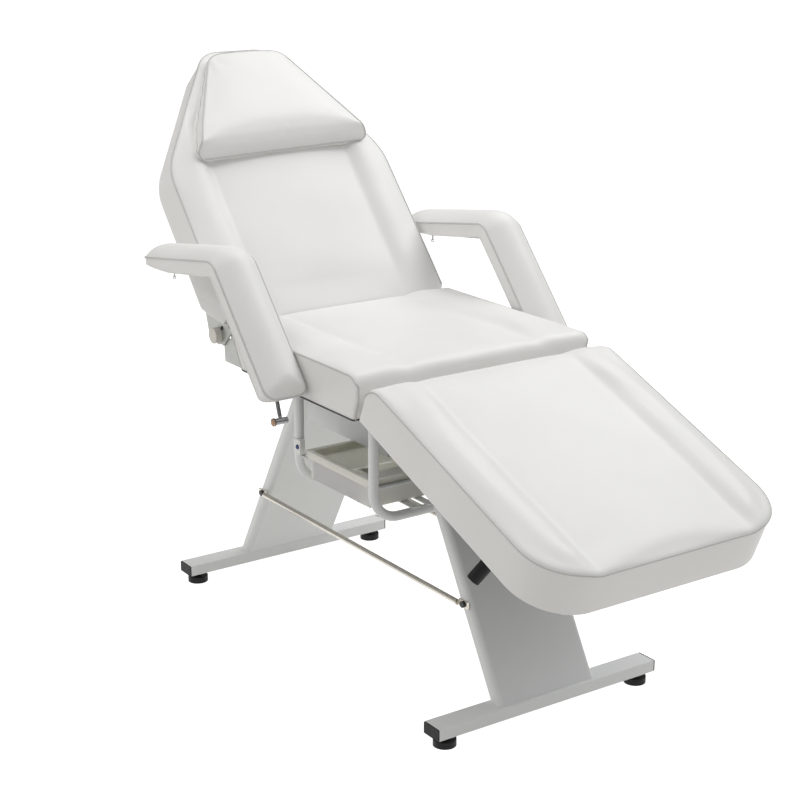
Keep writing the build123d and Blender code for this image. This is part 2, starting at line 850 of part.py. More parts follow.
def foot_bar(x):
    """A rectangular tube across the floor at x, drilled below for its two feet."""
    with BuildSketch(beside(floor, foot_bar_length / 2)) as profile:
        with Locations((x, bar_centre_z)):
            Rectangle(foot_bar_width, foot_bar_height)
            Rectangle(
                foot_bar_width - 2 * sheet_thickness,
                foot_bar_height - 2 * sheet_thickness,
                mode=Mode.SUBTRACT,
            )
    extrude(profile.sketch, amount=foot_bar_length)
    with BuildSketch(Plane.XY) as holes:
        with Locations((x, -foot_y), (x, foot_y)):
            Circle(stud_radius + running_clearance)
    extrude(holes.sketch, amount=bar_centre_z, mode=Mode.SUBTRACT)


def leaning_leg(axis_x, direction, window_low, window_high):
    """A folded-sheet leg that leans from its foot bar up to the chassis."""
    lean = Plane(
        origin=(axis_x, 0, leg_bottom),
        x_dir=(0, 1, 0),
        z_dir=(direction * lean_sin, 0, lean_cos),
    )
    with BuildSketch(lean) as skin:
        RectangleRounded(leg_width, leg_depth, leg_corner)
        RectangleRounded(
            leg_width - 2 * sheet_thickness,
            leg_depth - 2 * sheet_thickness,
            leg_corner - sheet_thickness,
            mode=Mode.SUBTRACT,
        )
    extrude(skin.sketch, amount=deep, both=True)
    block(floor, -deep, deep, -deep, deep, leg_bottom, chassis_under, mode=Mode.INTERSECT)
    block(
        floor,
        -deep,
        deep,
        -strut_window_half,
        strut_window_half,
        window_low,
        window_high,
        mode=Mode.SUBTRACT,
    )
    bolt_x = axis_x + direction * (tie_rod_height - leg_bottom) * lean_run
    peg(floor, bolt_x, tie_rod_height, tie_bolt_radius, -deep, deep, mode=Mode.SUBTRACT)


def base_lugs(pin_x, pin_z, face_low, face_high):
    """A pair of lugs from a leg's inner face to the lower pin of a strut."""
    for side in (-1, 1):
        ends = sorted((side * strut_lug_inner, side * (strut_lug_inner + strut_lug_thickness)))
        sheet(floor, [face_low, face_high, (pin_x, pin_z)], ends[0], ends[1])
        peg(floor, pin_x, pin_z, strut_lug_radius, ends[0], ends[1])
    peg(floor, pin_x, pin_z, strut_pin_radius, -deep, deep, mode=Mode.SUBTRACT)


with BuildPart() as front_foot_bar:
    foot_bar(front_bar_x)
save(front_foot_bar.part, "front_foot_bar")

with BuildPart() as rear_foot_bar:
    foot_bar(rear_bar_x)
save(rear_foot_bar.part, "rear_foot_bar")

with BuildPart() as foot_bar_end_caps:
    for x in (front_bar_x, rear_bar_x):
        with BuildSketch(Plane.XZ.offset(foot_bar_length / 2)) as cover:
            with Locations((x, bar_centre_z)):
                RectangleRounded(foot_bar_width, foot_bar_height, sheet_thickness)
        extrude(cover.sketch, amount=end_cap_depth)
        block(
            floor,
            x - foot_bar_width / 2 + sheet_thickness,
            x + foot_bar_width / 2 - sheet_thickness,
            -foot_bar_length / 2,
            -foot_bar_length / 2 + end_cap_plug,
            foot_bar_lift + sheet_thickness,
            foot_bar_lift + foot_bar_height - sheet_thickness,
        )
    mirror(about=Plane.XZ)
save(foot_bar_end_caps.part, "foot_bar_end_caps")

front_lug_drop = 231
front_lug_low = seat_height - front_lug_drop
front_face_low = (
    front_axis_x - leg_depth / 2 / lean_cos - (front_lug_low - leg_bottom) * lean_run,
    front_lug_low,
)
front_face_high = (
    front_axis_x - leg_depth / 2 / lean_cos - (front_window_high - leg_bottom) * lean_run,
    front_window_high,
)
rear_lug_low_drop = 258
rear_lug_high_drop = 183
rear_lug_low = seat_height - rear_lug_low_drop
rear_lug_high = seat_height - rear_lug_high_drop
rear_face_low = (
    rear_axis_x + leg_depth / 2 / lean_cos + (rear_lug_low - leg_bottom) * lean_run,
    rear_lug_low,
)
rear_face_high = (
    rear_axis_x + leg_depth / 2 / lean_cos + (rear_lug_high - leg_bottom) * lean_run,
    rear_lug_high,
)

with BuildPart() as front_leg:
    leaning_leg(front_axis_x, -1, front_window_low, front_window_high)
    base_lugs(leg_strut_base_x, leg_strut_base_z, front_face_low, front_face_high)
save(front_leg.part, "front_leg")

with BuildPart() as rear_leg:
    leaning_leg(rear_axis_x, 1, rear_window_low, rear_window_high)
    base_lugs(strut_base_x, strut_base_z, rear_face_low, rear_face_high)
save(rear_leg.part, "rear_leg")

with BuildPart() as strut_lower_pins:
    cross_pin(floor, leg_strut_base_x, leg_strut_base_z)
    cross_pin(floor, strut_base_x, strut_base_z)
save(strut_lower_pins.part, "strut_lower_pins")

tie_front_x = front_axis_x - (tie_rod_height - leg_bottom) * lean_run
tie_rear_x = rear_axis_x + (tie_rod_height - leg_bottom) * lean_run
tie_end_length = 30
tie_end_height = 16
tie_end_thickness = 4
leg_half_width = leg_width / 2

with BuildPart() as tie_rods:
    with BuildSketch(across(floor, tie_rear_x + tie_end_length / 2)) as rod_end:
        with Locations((tie_rod_y, tie_rod_height)):
            Circle(tie_rod_radius)
    extrude(rod_end.sketch, amount=tie_front_x - tie_rear_x - tie_end_length)
    for x in (tie_rear_x, tie_front_x):
        block(
            floor,
            x - tie_end_length / 2,
            x + tie_end_length / 2,
            leg_half_width,
            leg_half_width + tie_end_thickness,
            tie_rod_height - tie_end_height / 2,
            tie_rod_height + tie_end_height / 2,
        )
        peg(floor, x, tie_rod_height, tie_bolt_radius, -deep, deep, mode=Mode.SUBTRACT)
    mirror(about=Plane.XZ)
save(tie_rods.part, "tie_rods")

tie_bolt_head = 7
tie_bolt_reach = 8
tie_bolt_inner = leg_half_width - tie_bolt_reach
with BuildPart() as tie_rod_bolts:
    for x in (tie_rear_x, tie_front_x):
        peg(floor, x, tie_rod_height, tie_bolt_radius, tie_bolt_inner, leg_half_width + tie_end_thickness)
        peg(
            floor,
            x,
            tie_rod_height,
            tie_bolt_head,
            leg_half_width + tie_end_thickness,
            leg_half_width + 2 * tie_end_thickness,
        )
    mirror(about=Plane.XZ)
save(tie_rod_bolts.part, "tie_rod_bolts")

with BuildPart() as chassis_plate:
    block(floor, chassis_rear, chassis_front, -chassis_half, chassis_half, chassis_low, chassis_top)
    block(
        floor,
        chassis_rear + cloth_thickness,
        chassis_front - cloth_thickness,
        -chassis_half + cloth_thickness,
        chassis_half - cloth_thickness,
        0,
        chassis_under,
        mode=Mode.SUBTRACT,
    )
    for x in (hoop_front_x - cloth_thickness * 2, hoop_rear_x):
        block(
            floor,
            x - outrigger_width / 2,
            x + outrigger_width / 2,
            -outrigger_half,
            outrigger_half,
            chassis_under,
            chassis_top,
        )
save(chassis_plate.part, "chassis_plate")

box_half = 150
box_rear = -210
box_front = 107
box_drop = 229
box_low = seat_height - box_drop
box_wall = 1.5
with BuildPart() as centre_box:
    block(floor, box_rear, box_front, -box_half, box_half, box_low, chassis_under)
    block(
        floor,
        box_rear + box_wall,
        box_front - box_wall,
        -box_half + box_wall,
        box_half - box_wall,
        box_low + box_wall,
        chassis_top,
        mode=Mode.SUBTRACT,
    )
save(centre_box.part, "centre_box")

# Tray rack: two hoops of round tube, two flat bars and two runners
with BuildPart() as tray_hoops:
    for x in (hoop_front_x, hoop_rear_x):
        with BuildLine(across(floor, x)) as hoop_path:
            FilletPolyline(
                (-hoop_half, chassis_under),
                (-hoop_half, hoop_run_z),
                (hoop_half, hoop_run_z),
                (hoop_half, chassis_under),
                radius=hoop_bend,
            )
        with BuildSketch(Plane(origin=(x, -hoop_half, chassis_under), z_dir=(0, 0, -1))) as hoop_ring:
            Circle(hoop_radius)
            Circle(hoop_radius - hoop_wall, mode=Mode.SUBTRACT)
        sweep(hoop_ring.sketch, path=hoop_path.line)
save(tray_hoops.part, "tray_hoops")

support_ys = (113, 150)
support_width = 18
support_thickness = 3
support_low = hoop_run_z + hoop_radius
with BuildPart() as tray_support_bars:
    for y in support_ys:
        block(
            floor,
            hoop_rear_x - hoop_radius,
            hoop_front_x + hoop_radius,
            y - support_width / 2,
            y + support_width / 2,
            support_low,
            support_low + support_thickness,
        )
    mirror(about=Plane.XZ)
save(tray_support_bars.part, "tray_support_bars")

tray_rear = -61
tray_front = 183
tray_near = 15
tray_far = hoop_half
tray_rim_drop = 240
tray_low_drop = 308
tray_rim_top = seat_height - tray_rim_drop
tray_low = seat_height - tray_low_drop
tray_rim_width = 9
tray_rim_height = 16
tray_step = tray_rim_top - tray_rim_height
tray_wall = 2.5
tray_ledge = 30
tray_clearance = 0.3
runner_top = tray_step - tray_clearance
runner_low = runner_top - cloth_thickness
runner_overlap = 6.5
runner_overhang = 2
runner_half = hoop_half + runner_overhang
runner_reach = 5

with BuildPart() as tray_runners:
    block(
        floor,
        hoop_rear_x + runner_reach,
        tray_rear + runner_overlap,
        -runner_half,
        runner_half,
        runner_low,
        runner_top,
    )
    block(
        floor,
        tray_front - runner_overlap,
        hoop_front_x - runner_reach,
        -runner_half,
        runner_half,
        runner_low,
        runner_top,
    )
    for x in (hoop_front_x, hoop_rear_x):
        for y in (-hoop_half, hoop_half):
            with BuildSketch(Plane.XY) as tube_hole:
                with Locations((x, y)):
                    Circle(hoop_radius)
            extrude(tube_hole.sketch, amount=seat_height, mode=Mode.SUBTRACT)
save(tray_runners.part, "tray_runners")

clip_rear = -88
clip_front = -62
clip_reach = 13
clip_drop = 218
clip_height = 32
clip_high = seat_height - clip_drop
clip_low = clip_high - clip_height
with BuildPart() as tray_clips:
    block(floor, clip_rear, clip_front, hoop_half + gap, hoop_half + clip_reach, clip_low, clip_high)
    with BuildSketch(Plane.XY) as clip_hole:
        with Locations((hoop_rear_x, hoop_half)):
            Circle(hoop_radius)
    extrude(clip_hole.sketch, amount=seat_height, mode=Mode.SUBTRACT)
    mirror(about=Plane.XZ)
save(tray_clips.part, "tray_clips")


def tray(side, name):
    """A tray on one side of the rack, with a deep rim and a ledge at its front end."""
    with BuildPart() as tub:
        wall_near = tray_near + tray_rim_width
        wall_far = tray_far - tray_rim_width
        ends = sorted((side * wall_near, side * wall_far))
        rim = sorted((side * tray_near, side * tray_far))
        block(
            floor,
            tray_rear + tray_rim_width,
            tray_front - tray_rim_width,
            ends[0],
            ends[1],
            tray_low,
            tray_rim_top,
        )
        fillet(tub.edges().group_by(Axis.Z)[0], tray_rim_width)
        block(floor, tray_rear, tray_front, rim[0], rim[1], tray_step, tray_rim_top)
        with BuildSketch(floor.offset(tray_low + tray_wall)) as hollow:
            with Locations(((tray_rear + tray_front - tray_ledge) / 2, (ends[0] + ends[1]) / 2)):
                RectangleRounded(
                    tray_front - tray_rear - tray_ledge - 2 * (tray_rim_width + tray_wall),
                    wall_far - wall_near - 2 * tray_wall,
                    tray_rim_width,
                )
        extrude(hollow.sketch, amount=tray_rim_top, mode=Mode.SUBTRACT)
        block(
            floor,
            tray_front - tray_rim_width - tray_ledge,
            tray_front - tray_rim_width - tray_wall,
            ends[0] + tray_wall,
            ends[1] - tray_wall,
            0,
            tray_rim_top - tray_wall,
            mode=Mode.SUBTRACT,
        )
    save(tub.part, name)


tray(-1, "near_tray")
tray(1, "far_tray")

# Levelling feet
for bar_name, x in (("front", front_bar_x), ("rear", rear_bar_x)):
    for side_name, y in (("near", -foot_y), ("far", foot_y)):
        with BuildPart() as levelling_foot:
            with Locations((x, y, 0)):
                Cylinder(
                    foot_pad_radius,
                    foot_pad_height,
                    align=(Align.CENTER, Align.CENTER, Align.MIN),
                )
                Cylinder(stud_radius, foot_stud_top, align=(Align.CENTER, Align.CENTER, Align.MIN))
            with Locations((x, y, foot_nut_low)):
                Cylinder(
                    foot_nut_radius,
                    foot_nut_high - foot_nut_low,
                    align=(Align.CENTER, Align.CENTER, Align.MIN),
                )
        save(levelling_foot.part, f"{bar_name}_{side_name}_levelling_foot")

# Struts: a cylinder on the base and a rod on the moving section
eye_half = 17.2
rod_radius = 5
cylinder_radius = 14
cylinder_eye_radius = 12
rod_eye_radius = 11
bore_start = 24


def strut_frame(base_x, base_z, frame, x, w):
    """The plane at a strut's lower pin with its z along the strut to the upper pin."""
    top = frame.from_local_coords((x, 0, w))
    run = top.X - base_x
    rise = top.Z - base_z
    reach = hypot(run, rise)
    return Plane(origin=(base_x, 0, base_z), x_dir=(0, 1, 0), z_dir=(run / reach, 0, rise / reach)), reach


def strut(base_x, base_z, frame, x, w, cylinder_length, rod_length, name):
    """Both halves of a strut, as they stand between their pins."""
    line, reach = strut_frame(base_x, base_z, frame, x, w)
    top = frame.from_local_coords((x, 0, w))
    with BuildPart() as cylinder:
        with BuildSketch(line) as body:
            Circle(cylinder_radius)
        extrude(body.sketch, amount=cylinder_length)
        with BuildSketch(line.offset(-cylinder_radius)) as relief:
            Circle(cylinder_radius * 2)
        extrude(relief.sketch, amount=cylinder_radius + cylinder_eye_radius / 2, mode=Mode.SUBTRACT)
        peg(floor, base_x, base_z, cylinder_eye_radius, -eye_half, eye_half)
        peg(
            floor,
            base_x,
            base_z,
            strut_pin_radius + running_clearance,
            -eye_half,
            eye_half,
            mode=Mode.SUBTRACT,
        )
        with BuildSketch(line.offset(bore_start)) as bore:
            Circle(rod_radius + running_clearance)
        extrude(bore.sketch, amount=cylinder_length, mode=Mode.SUBTRACT)
    save(cylinder.part, f"{name}_strut_cylinder")
    with BuildPart() as rod:
        with BuildSketch(line.offset(reach - rod_length)) as tip:
            Circle(rod_radius)
        extrude(tip.sketch, amount=rod_length - rod_eye_radius / 2)
        peg(floor, top.X, top.Z, rod_eye_radius, -eye_half, eye_half)
        peg(
            floor,
            top.X,
            top.Z,
            strut_pin_radius + running_clearance,
            -eye_half,
            eye_half,
            mode=Mode.SUBTRACT,
        )
    save(rod.part, f"{name}_strut_rod")


back_cylinder_length = 220
back_rod_length = 218
leg_cylinder_length = 155
leg_rod_length = 152
strut(
    strut_base_x,
    strut_base_z,
    back,
    back_strut_x,
    back_strut_w,
    back_cylinder_length,
    back_rod_length,
    "back",
)
strut(
    leg_strut_base_x,
    leg_strut_base_z,
    leg_rest,
    leg_strut_x,
    leg_strut_w,
    leg_cylinder_length,
    leg_rod_length,
    "leg",
)

# Release levers: a bent rod in two hangers, with a domed grip on its end
lever_out_share = 0.578
lever_down_share = 0.816
lever_arm = 155
lever_bend_radius = 14
grip_radius = 14.5
grip_length = 95


def release_lever(frame, x, side, tube_low, name):
    """A lever that turns in its hangers, and the grip pressed on its end."""
    run = tube_low - lever_drop
    start = side * lever_start
    bend = side * lever_bend
    tip_y = bend + side * lever_out_share * lever_arm
    tip_w = run - lever_down_share * lever_arm
    cut = across(frame, x)
    with BuildPart() as lever:
        with BuildLine(cut) as lever_path:
            FilletPolyline((start, run), (bend, run), (tip_y, tip_w), radius=lever_bend_radius)
        with BuildSketch(Plane(origin=frame.from_local_coords((x, start, run)), z_dir=side * frame.y_dir)) as end:
            Circle(lever_radius)
        sweep(end.sketch, path=lever_path.line)
    save(lever.part, f"{name}_release_lever")
    origin = frame.from_local_coords((x, tip_y, tip_w))
    direction = frame.y_dir * (-side * lever_out_share) + frame.z_dir * lever_down_share
    grip_plane = Plane(origin=origin, x_dir=frame.x_dir, z_dir=direction)
    with BuildPart() as grip:
        with BuildSketch(grip_plane.offset(-grip_radius)) as grip_end:
            Circle(grip_radius)
        extrude(grip_end.sketch, amount=grip_length)
        fillet(grip.faces().sort_by(Axis(origin, direction))[0].edges(), cap_edge)
        with BuildSketch(grip_plane) as grip_bore:
            Circle(lever_radius)
        extrude(grip_bore.sketch, amount=grip_length, mode=Mode.SUBTRACT)
    save(grip.part, f"{name}_lever_grip")


release_lever(back, back_lever_x, 1, back_low, "back")
release_lever(leg_rest, leg_lever_x, -1, leg_low, "leg")

# Arm rests: a padded elbow over a flat core that turns on a stub of the seat
arm_angle = 48.7
arm_width = 100
arm_front = 14.7
arm_rear = -16.3
arm_crown = 21
arm_bottom = 24
arm_elbow = -300
arm_elbow_radius = 40
arm_upper_length = 335
arm_upper_fall = 7.5
arm_corner = 25
arm_tip_corner = 30
arm_tip_under = ((0, -4), (18, -15), (45, -22))
arm_under_middle = (130, -30)
arm_tip_over = ((0, 3), (20, 15), (55, 22))
arm_heel = ((24, 6), (17, -10), (0, -16.3))
arm_core_width = 60
arm_core_thickness = 6
arm_collar_radius = 14
arm_collar_gap = 2
arm_collar_start = arm_inner_y + arm_collar_gap
arm_collar_end = stub_end + gap
screw_run_share = 0.316
screw_fall_share = -0.949
arm_screw_inset = 65
arm_screw_y = arm_inner_y + arm_screw_inset
arm_screw_reach = 61
arm_screw_radius = 4
arm_screw_slot = 6
handle_radius = 7
handle_length = 30
handle_disc_radius = 8.5
handle_disc_thickness = 4
zip_x = -443
zip_pull_length = 20
zip_pull_width = 6
zip_pull_thickness = 1.5
zip_pin_radius = 1
zip_slider_height = 7
zip_slider_length = 14
zip_slider_width = 10

arm = section_frame(arm_pivot_x, arm_pivot_z, arm_angle)
elbow = arm.from_local_coords((arm_elbow, 0, arm_front))
fall = radians(arm_upper_fall)
tip_x = elbow.X - arm_upper_length * cos(fall)
tip_z = elbow.Z - arm_upper_length * sin(fall)
heel = arm.from_local_coords((arm_bottom, 0, arm_front))
arm_centre_y = arm_inner_y + arm_width / 2
tip_frame = section_frame(tip_x, tip_z, -arm_upper_fall)


def arm_sweep(half, low, high, crown, mode=Mode.ADD):
    """A bar swept along the arm, between two depths from its piping line."""
    with BuildLine(beside(floor, arm_centre_y)) as arm_path:
        FilletPolyline(
            (heel.X, heel.Z),
            (elbow.X, elbow.Z),
            (tip_x, tip_z),
            radius=arm_elbow_radius,
        )
    start = Plane(origin=(heel.X, arm_centre_y, heel.Z), x_dir=(0, 1, 0), z_dir=-arm.x_dir)
    up = 1 if start.y_dir.dot(arm.z_dir) > 0 else -1
    with BuildSketch(start) as profile:
        with BuildLine():
            Polyline((-half, up * high), (-half, up * low), (half, up * low), (half, up * high))
            if crown > 0:
                ThreePointArc((half, up * high), (0, up * (high + crown)), (-half, up * high))
            else:
                Line((half, up * high), (-half, up * high))
        make_face()
    sweep(profile.sketch, path=arm_path.line, mode=mode)


def upper_side(outline, mode):
    """Cut the arm's upper part with an outline drawn from the tip, along the fall."""
    sheet(tip_frame, outline, arm_inner_y - cut_overrun, arm_inner_y + arm_width + cut_overrun, mode=mode)


def end_cut(frame, curve, edge, level):
    """Round an end of the arm seen from the side: cut what lies beyond a curve."""
    with BuildSketch(beside(frame, arm_inner_y + arm_width + cut_overrun)) as scrap:
        with BuildLine():
            ThreePointArc(*curve)
            Polyline(curve[-1], (curve[-1][0], level), (edge, level), (edge, curve[0][1]), curve[0])
        make_face()
    extrude(scrap.sketch, amount=arm_width + 2 * cut_overrun, mode=Mode.SUBTRACT)


def round_end(plane, length, radius):
    """Round the two corners at an end of the arm, seen from its padded face."""
    with BuildSketch(plane) as corners:
        with Locations((0, 0)):
            Rectangle(2 * length, arm_width + 2 * cut_overrun)
        with Locations((-length, 0)):
            RectangleRounded(2 * length, arm_width, radius, mode=Mode.SUBTRACT)
        with Locations((-length, 0)):
            Rectangle(length, arm_width + 2 * cut_overrun, mode=Mode.SUBTRACT)
    extrude(corners.sketch, amount=arm_width, both=True, mode=Mode.SUBTRACT)


def screw_plane():
    """The plane at the middle of the stub, with its z along the clamp screw."""
    return Plane(
        origin=(arm_pivot_x, arm_screw_y, arm_pivot_z),
        x_dir=(0, 1, 0),
        z_dir=(screw_run_share, 0, screw_fall_share),
    )


def screw_bar(start, end, radius, mode=Mode.ADD):
    """A round bar along the clamp screw between two distances from the stub."""
    with BuildSketch(screw_plane().offset(start)) as bar:
        Circle(radius)
    extrude(bar.sketch, amount=end - start, mode=mode)


gusset = arm_front - arm_rear
core_bend = arm_upper_length - arm_elbow_radius
with BuildPart() as arm_pad:
    arm_sweep(arm_width / 2, -gusset, 0, arm_crown)
    upper_side(
        [
            arm_tip_under[-1],
            arm_under_middle,
            (core_bend, -gusset),
            (core_bend, -2 * gusset),
            (arm_tip_under[-1][0], -2 * gusset),
        ],
        Mode.SUBTRACT,
    )
    end_cut(tip_frame, arm_tip_under, -cut_overrun, -2 * gusset)
    end_cut(tip_frame, arm_tip_over, -cut_overrun, 2 * arm_crown)
    end_cut(arm, arm_heel, arm_bottom + cut_overrun, -2 * gusset)
    round_end(
        Plane(
            origin=arm.from_local_coords((arm_bottom, arm_centre_y, 0)),
            x_dir=arm.x_dir,
            z_dir=arm.z_dir,
        ),
        arm_width / 2,
        arm_corner,
    )
    round_end(
        Plane(origin=(tip_x, arm_centre_y, tip_z), x_dir=(-cos(fall), 0, -sin(fall)), z_dir=(-sin(fall), 0, cos(fall))),
        arm_width / 2,
        arm_tip_corner,
    )
    peg(floor, arm_pivot_x, arm_pivot_z, arm_collar_radius, 0, arm_collar_end, mode=Mode.SUBTRACT)
    screw_bar(0, arm_width, arm_screw_slot, mode=Mode.SUBTRACT)


core_half = arm_core_width / 2
core_top = arm_core_thickness - gusset
core_tip = arm_under_middle[0]
core_tip_low = arm_under_middle[1]
core_end = -2

with BuildPart() as arm_core:
    arm_sweep(core_half, -gusset, core_top, 0)
    upper_side(
        [(-cut_overrun, -deep), (core_bend, -deep), (core_bend, 0), (-cut_overrun, 0)],
        Mode.SUBTRACT,
    )
    block(arm, core_end, deep, 0, deep, -deep, deep, mode=Mode.SUBTRACT)
    sheet(
        tip_frame,
        [
            (core_bend, -gusset),
            (core_bend, core_top),
            (core_tip, arm_core_thickness + core_tip_low),
            (core_tip, core_tip_low),
        ],
        arm_centre_y - core_half,
        arm_centre_y + core_half,
    )
    peg(floor, arm_pivot_x, arm_pivot_z, arm_collar_radius, arm_collar_start, arm_collar_end)
    peg(floor, arm_pivot_x, arm_pivot_z, arm_stub_radius + running_clearance, 0, deep, mode=Mode.SUBTRACT)
    screw_bar(0, arm_width, arm_screw_radius + running_clearance, mode=Mode.SUBTRACT)
    screw_bar(arm_collar_radius, arm_width, arm_screw_slot, mode=Mode.SUBTRACT)

with BuildPart() as far_arm_pad:
    add(arm_pad.part)
    add(arm_core.part, mode=Mode.SUBTRACT)

with BuildPart() as arm_screw:
    screw_bar(arm_stub_radius + gap, arm_screw_reach, arm_screw_radius)
    handle = screw_plane().offset(arm_screw_reach)
    handle_axis = Plane(
        origin=handle.from_local_coords((-handle_length / 2, 0, 0)),
        x_dir=handle.y_dir,
        z_dir=handle.x_dir,
    )
    with BuildSketch(handle_axis) as handle_end:
        Circle(handle_radius)
    extrude(handle_end.sketch, amount=handle_length)
    with BuildSketch(handle_axis.offset(handle_length)) as handle_disc:
        Circle(handle_disc_radius)
    extrude(handle_disc.sketch, amount=handle_disc_thickness)

# Zip sliders under the arm rests, each with a pull that swings on a small pin
zip_along = (zip_x - tip_x) / cos(fall)
zip_share = (zip_along - arm_tip_under[-1][0]) / (arm_under_middle[0] - arm_tip_under[-1][0])
zip_under = -arm_tip_under[-1][1] * (1 - zip_share) - arm_under_middle[1] * zip_share
zip_pin_w = -zip_under - zip_slider_height * 3 / 5
zip_slot = 3
zip_eye = 2.4
with BuildPart() as zip_slider:
    block(
        tip_frame,
        zip_along - zip_slider_length / 2,
        zip_along + zip_slider_length / 2,
        arm_centre_y - zip_slider_width / 2,
        arm_centre_y + zip_slider_width / 2,
        -zip_under - zip_slider_height,
        -zip_under + zip_slider_height,
    )
    add(far_arm_pad.part, mode=Mode.SUBTRACT)
    add(arm_core.part, mode=Mode.SUBTRACT)
    block(
        tip_frame,
        -deep,
        deep,
        arm_centre_y - zip_slot / 2,
        arm_centre_y + zip_slot / 2,
        -deep,
        -zip_under - cloth_thickness / 4,
        mode=Mode.SUBTRACT,
    )
    peg(
        tip_frame,
        zip_along,
        zip_pin_w,
        zip_pin_radius,
        arm_centre_y - zip_slider_width / 2,
        arm_centre_y + zip_slider_width / 2,
    )

zip_pin = tip_frame.from_local_coords((zip_along, 0, zip_pin_w))
zip_hang = section_frame(zip_pin.X, zip_pin.Z, 0)
pull_half = zip_slot / 2 - zip_pin_radius / 4
with BuildPart() as zip_pull:
    block(
        zip_hang,
        -zip_pull_width / 3,
        zip_pull_width / 3,
        arm_centre_y - zip_pull_thickness / 2,
        arm_centre_y + zip_pull_thickness / 2,
        -zip_pull_length,
        0,
    )
    block(
        zip_hang,
        -zip_pull_width / 2,
        zip_pull_width / 2,
        arm_centre_y - zip_pull_thickness / 2,
        arm_centre_y + zip_pull_thickness / 2,
        -zip_pull_length,
        -zip_pull_length / 3,
    )
    peg(zip_hang, 0, 0, zip_eye, arm_centre_y - pull_half, arm_centre_y + pull_half)
    peg(
        zip_hang,
        0,
        0,
        zip_pin_radius + running_clearance,
        0,
        deep,
        mode=Mode.SUBTRACT,
    )

arm_pieces = (
    ("arm_pad", far_arm_pad.part),
    ("arm_core", arm_core.part),
    ("arm_screw", arm_screw.part),
    ("zip_slider", zip_slider.part),
    ("zip_pull", zip_pull.part),
)
for piece_name, piece in arm_pieces:
    with BuildPart() as near_piece:
        mirror(piece, about=Plane.XZ)
    save(near_piece.part, f"near_{piece_name}")
    save(piece, f"far_{piece_name}")
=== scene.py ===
from math import atan2, cos, pi, radians, sin

import bmesh
import bpy
import numpy as np
from mathutils import Matrix, Vector


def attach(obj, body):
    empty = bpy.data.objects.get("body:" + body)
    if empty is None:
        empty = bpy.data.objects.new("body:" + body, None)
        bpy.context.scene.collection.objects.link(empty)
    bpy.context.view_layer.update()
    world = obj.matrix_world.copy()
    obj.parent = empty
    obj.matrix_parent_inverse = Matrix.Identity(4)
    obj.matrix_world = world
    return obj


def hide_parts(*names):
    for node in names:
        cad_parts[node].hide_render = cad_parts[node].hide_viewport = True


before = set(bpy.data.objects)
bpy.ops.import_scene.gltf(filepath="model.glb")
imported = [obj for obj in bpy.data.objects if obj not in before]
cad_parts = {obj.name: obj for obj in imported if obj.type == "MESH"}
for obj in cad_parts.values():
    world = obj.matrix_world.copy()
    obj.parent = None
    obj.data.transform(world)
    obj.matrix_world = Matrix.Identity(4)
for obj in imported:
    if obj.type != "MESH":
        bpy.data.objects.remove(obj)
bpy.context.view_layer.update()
scene = bpy.context.scene
scene.view_settings.view_transform = "Standard"

# Camera: fitted to the photograph, an 80 mm lens that looks down a little from
# the front right of the table.
camera_down = 16.92
camera_turn = 55.45
camera_data = bpy.data.cameras.new("photo_camera")
camera_data.lens = 80.46
camera_data.sensor_width = 36
camera = bpy.data.objects.new("photo_camera", camera_data)
camera.location = (3.0561, -2.1499, 1.6976)
camera.rotation_euler = (radians(90 - camera_down), 0, radians(camera_turn))
scene.collection.objects.link(camera)
scene.camera = camera

# Light: a white studio. Large soft panels high on the far side, above and on the
# near side, a weak one in front, and a white world that fills the shadows.
world = bpy.data.worlds.new("studio")
world.use_nodes = True
world.node_tree.nodes["Background"].inputs["Color"].default_value = (1, 1, 1, 1)
world.node_tree.nodes["Background"].inputs["Strength"].default_value = 0.42
scene.world = world
table_middle = (0, 0, 0.6)
foot_end_low = (0.3, 0, 0.4)
near_tint = (1, 0.98, 0.95)


def panel(name, place, aim, size, power, tint=(1, 1, 1)):
    """A square area lamp turned towards a point."""
    data = bpy.data.lights.new(name, "AREA")
    data.shape = "RECTANGLE"
    data.size = size
    data.size_y = size
    data.energy = power
    data.color = tint
    lamp = bpy.data.objects.new(name, data)
    lamp.location = place
    lamp.rotation_euler = (Vector(aim) - Vector(place)).to_track_quat("-Z", "Y").to_euler()
    scene.collection.objects.link(lamp)


panel("far_panel", (-0.3, 2.4, 3.6), table_middle, 2.6, 60)
panel("top_panel", (-0.2, 0.2, 3.8), table_middle, 2.6, 20)
panel("near_panel", (-0.9, -2.6, 3.0), table_middle, 2.2, 25, near_tint)
panel("front_panel", (3.4, 0.4, 3.0), foot_end_low, 1.6, 5)

# Floor: pale and nearly shadowless, as in the photograph. Its glow is stronger
# for what the camera and the metal see than for what it gives the object.
floor_reach = 30
floor_corner_shares = [(-1, -1, 0), (1, -1, 0), (1, 1, 0), (-1, 1, 0)]
floor_work = bmesh.new()
floor_work.faces.new([floor_work.verts.new(Vector(share) * floor_reach) for share in floor_corner_shares])
floor_mesh = bpy.data.meshes.new("studio_floor")
floor_work.to_mesh(floor_mesh)
floor_work.free()
floor = bpy.data.objects.new("studio_floor", floor_mesh)
scene.collection.objects.link(floor)
floor_mat = bpy.data.materials.new("studio_floor")
floor_mat.use_nodes = True
floor_tree = floor_mat.node_tree
floor_shader = floor_tree.nodes["Principled BSDF"]
floor_shader.inputs["Base Color"].default_value = (0.6, 0.585, 0.56, 1)
floor_shader.inputs["Roughness"].default_value = 0.9
floor_shader.inputs["Emission Color"].default_value = (1, 1, 1, 1)
ray_kind = floor_tree.nodes.new("ShaderNodeLightPath")
seen = floor_tree.nodes.new("ShaderNodeMath")
seen.operation = "MAXIMUM"
floor_tree.links.new(ray_kind.outputs["Is Camera Ray"], seen.inputs[0])
floor_tree.links.new(ray_kind.outputs["Is Glossy Ray"], seen.inputs[1])
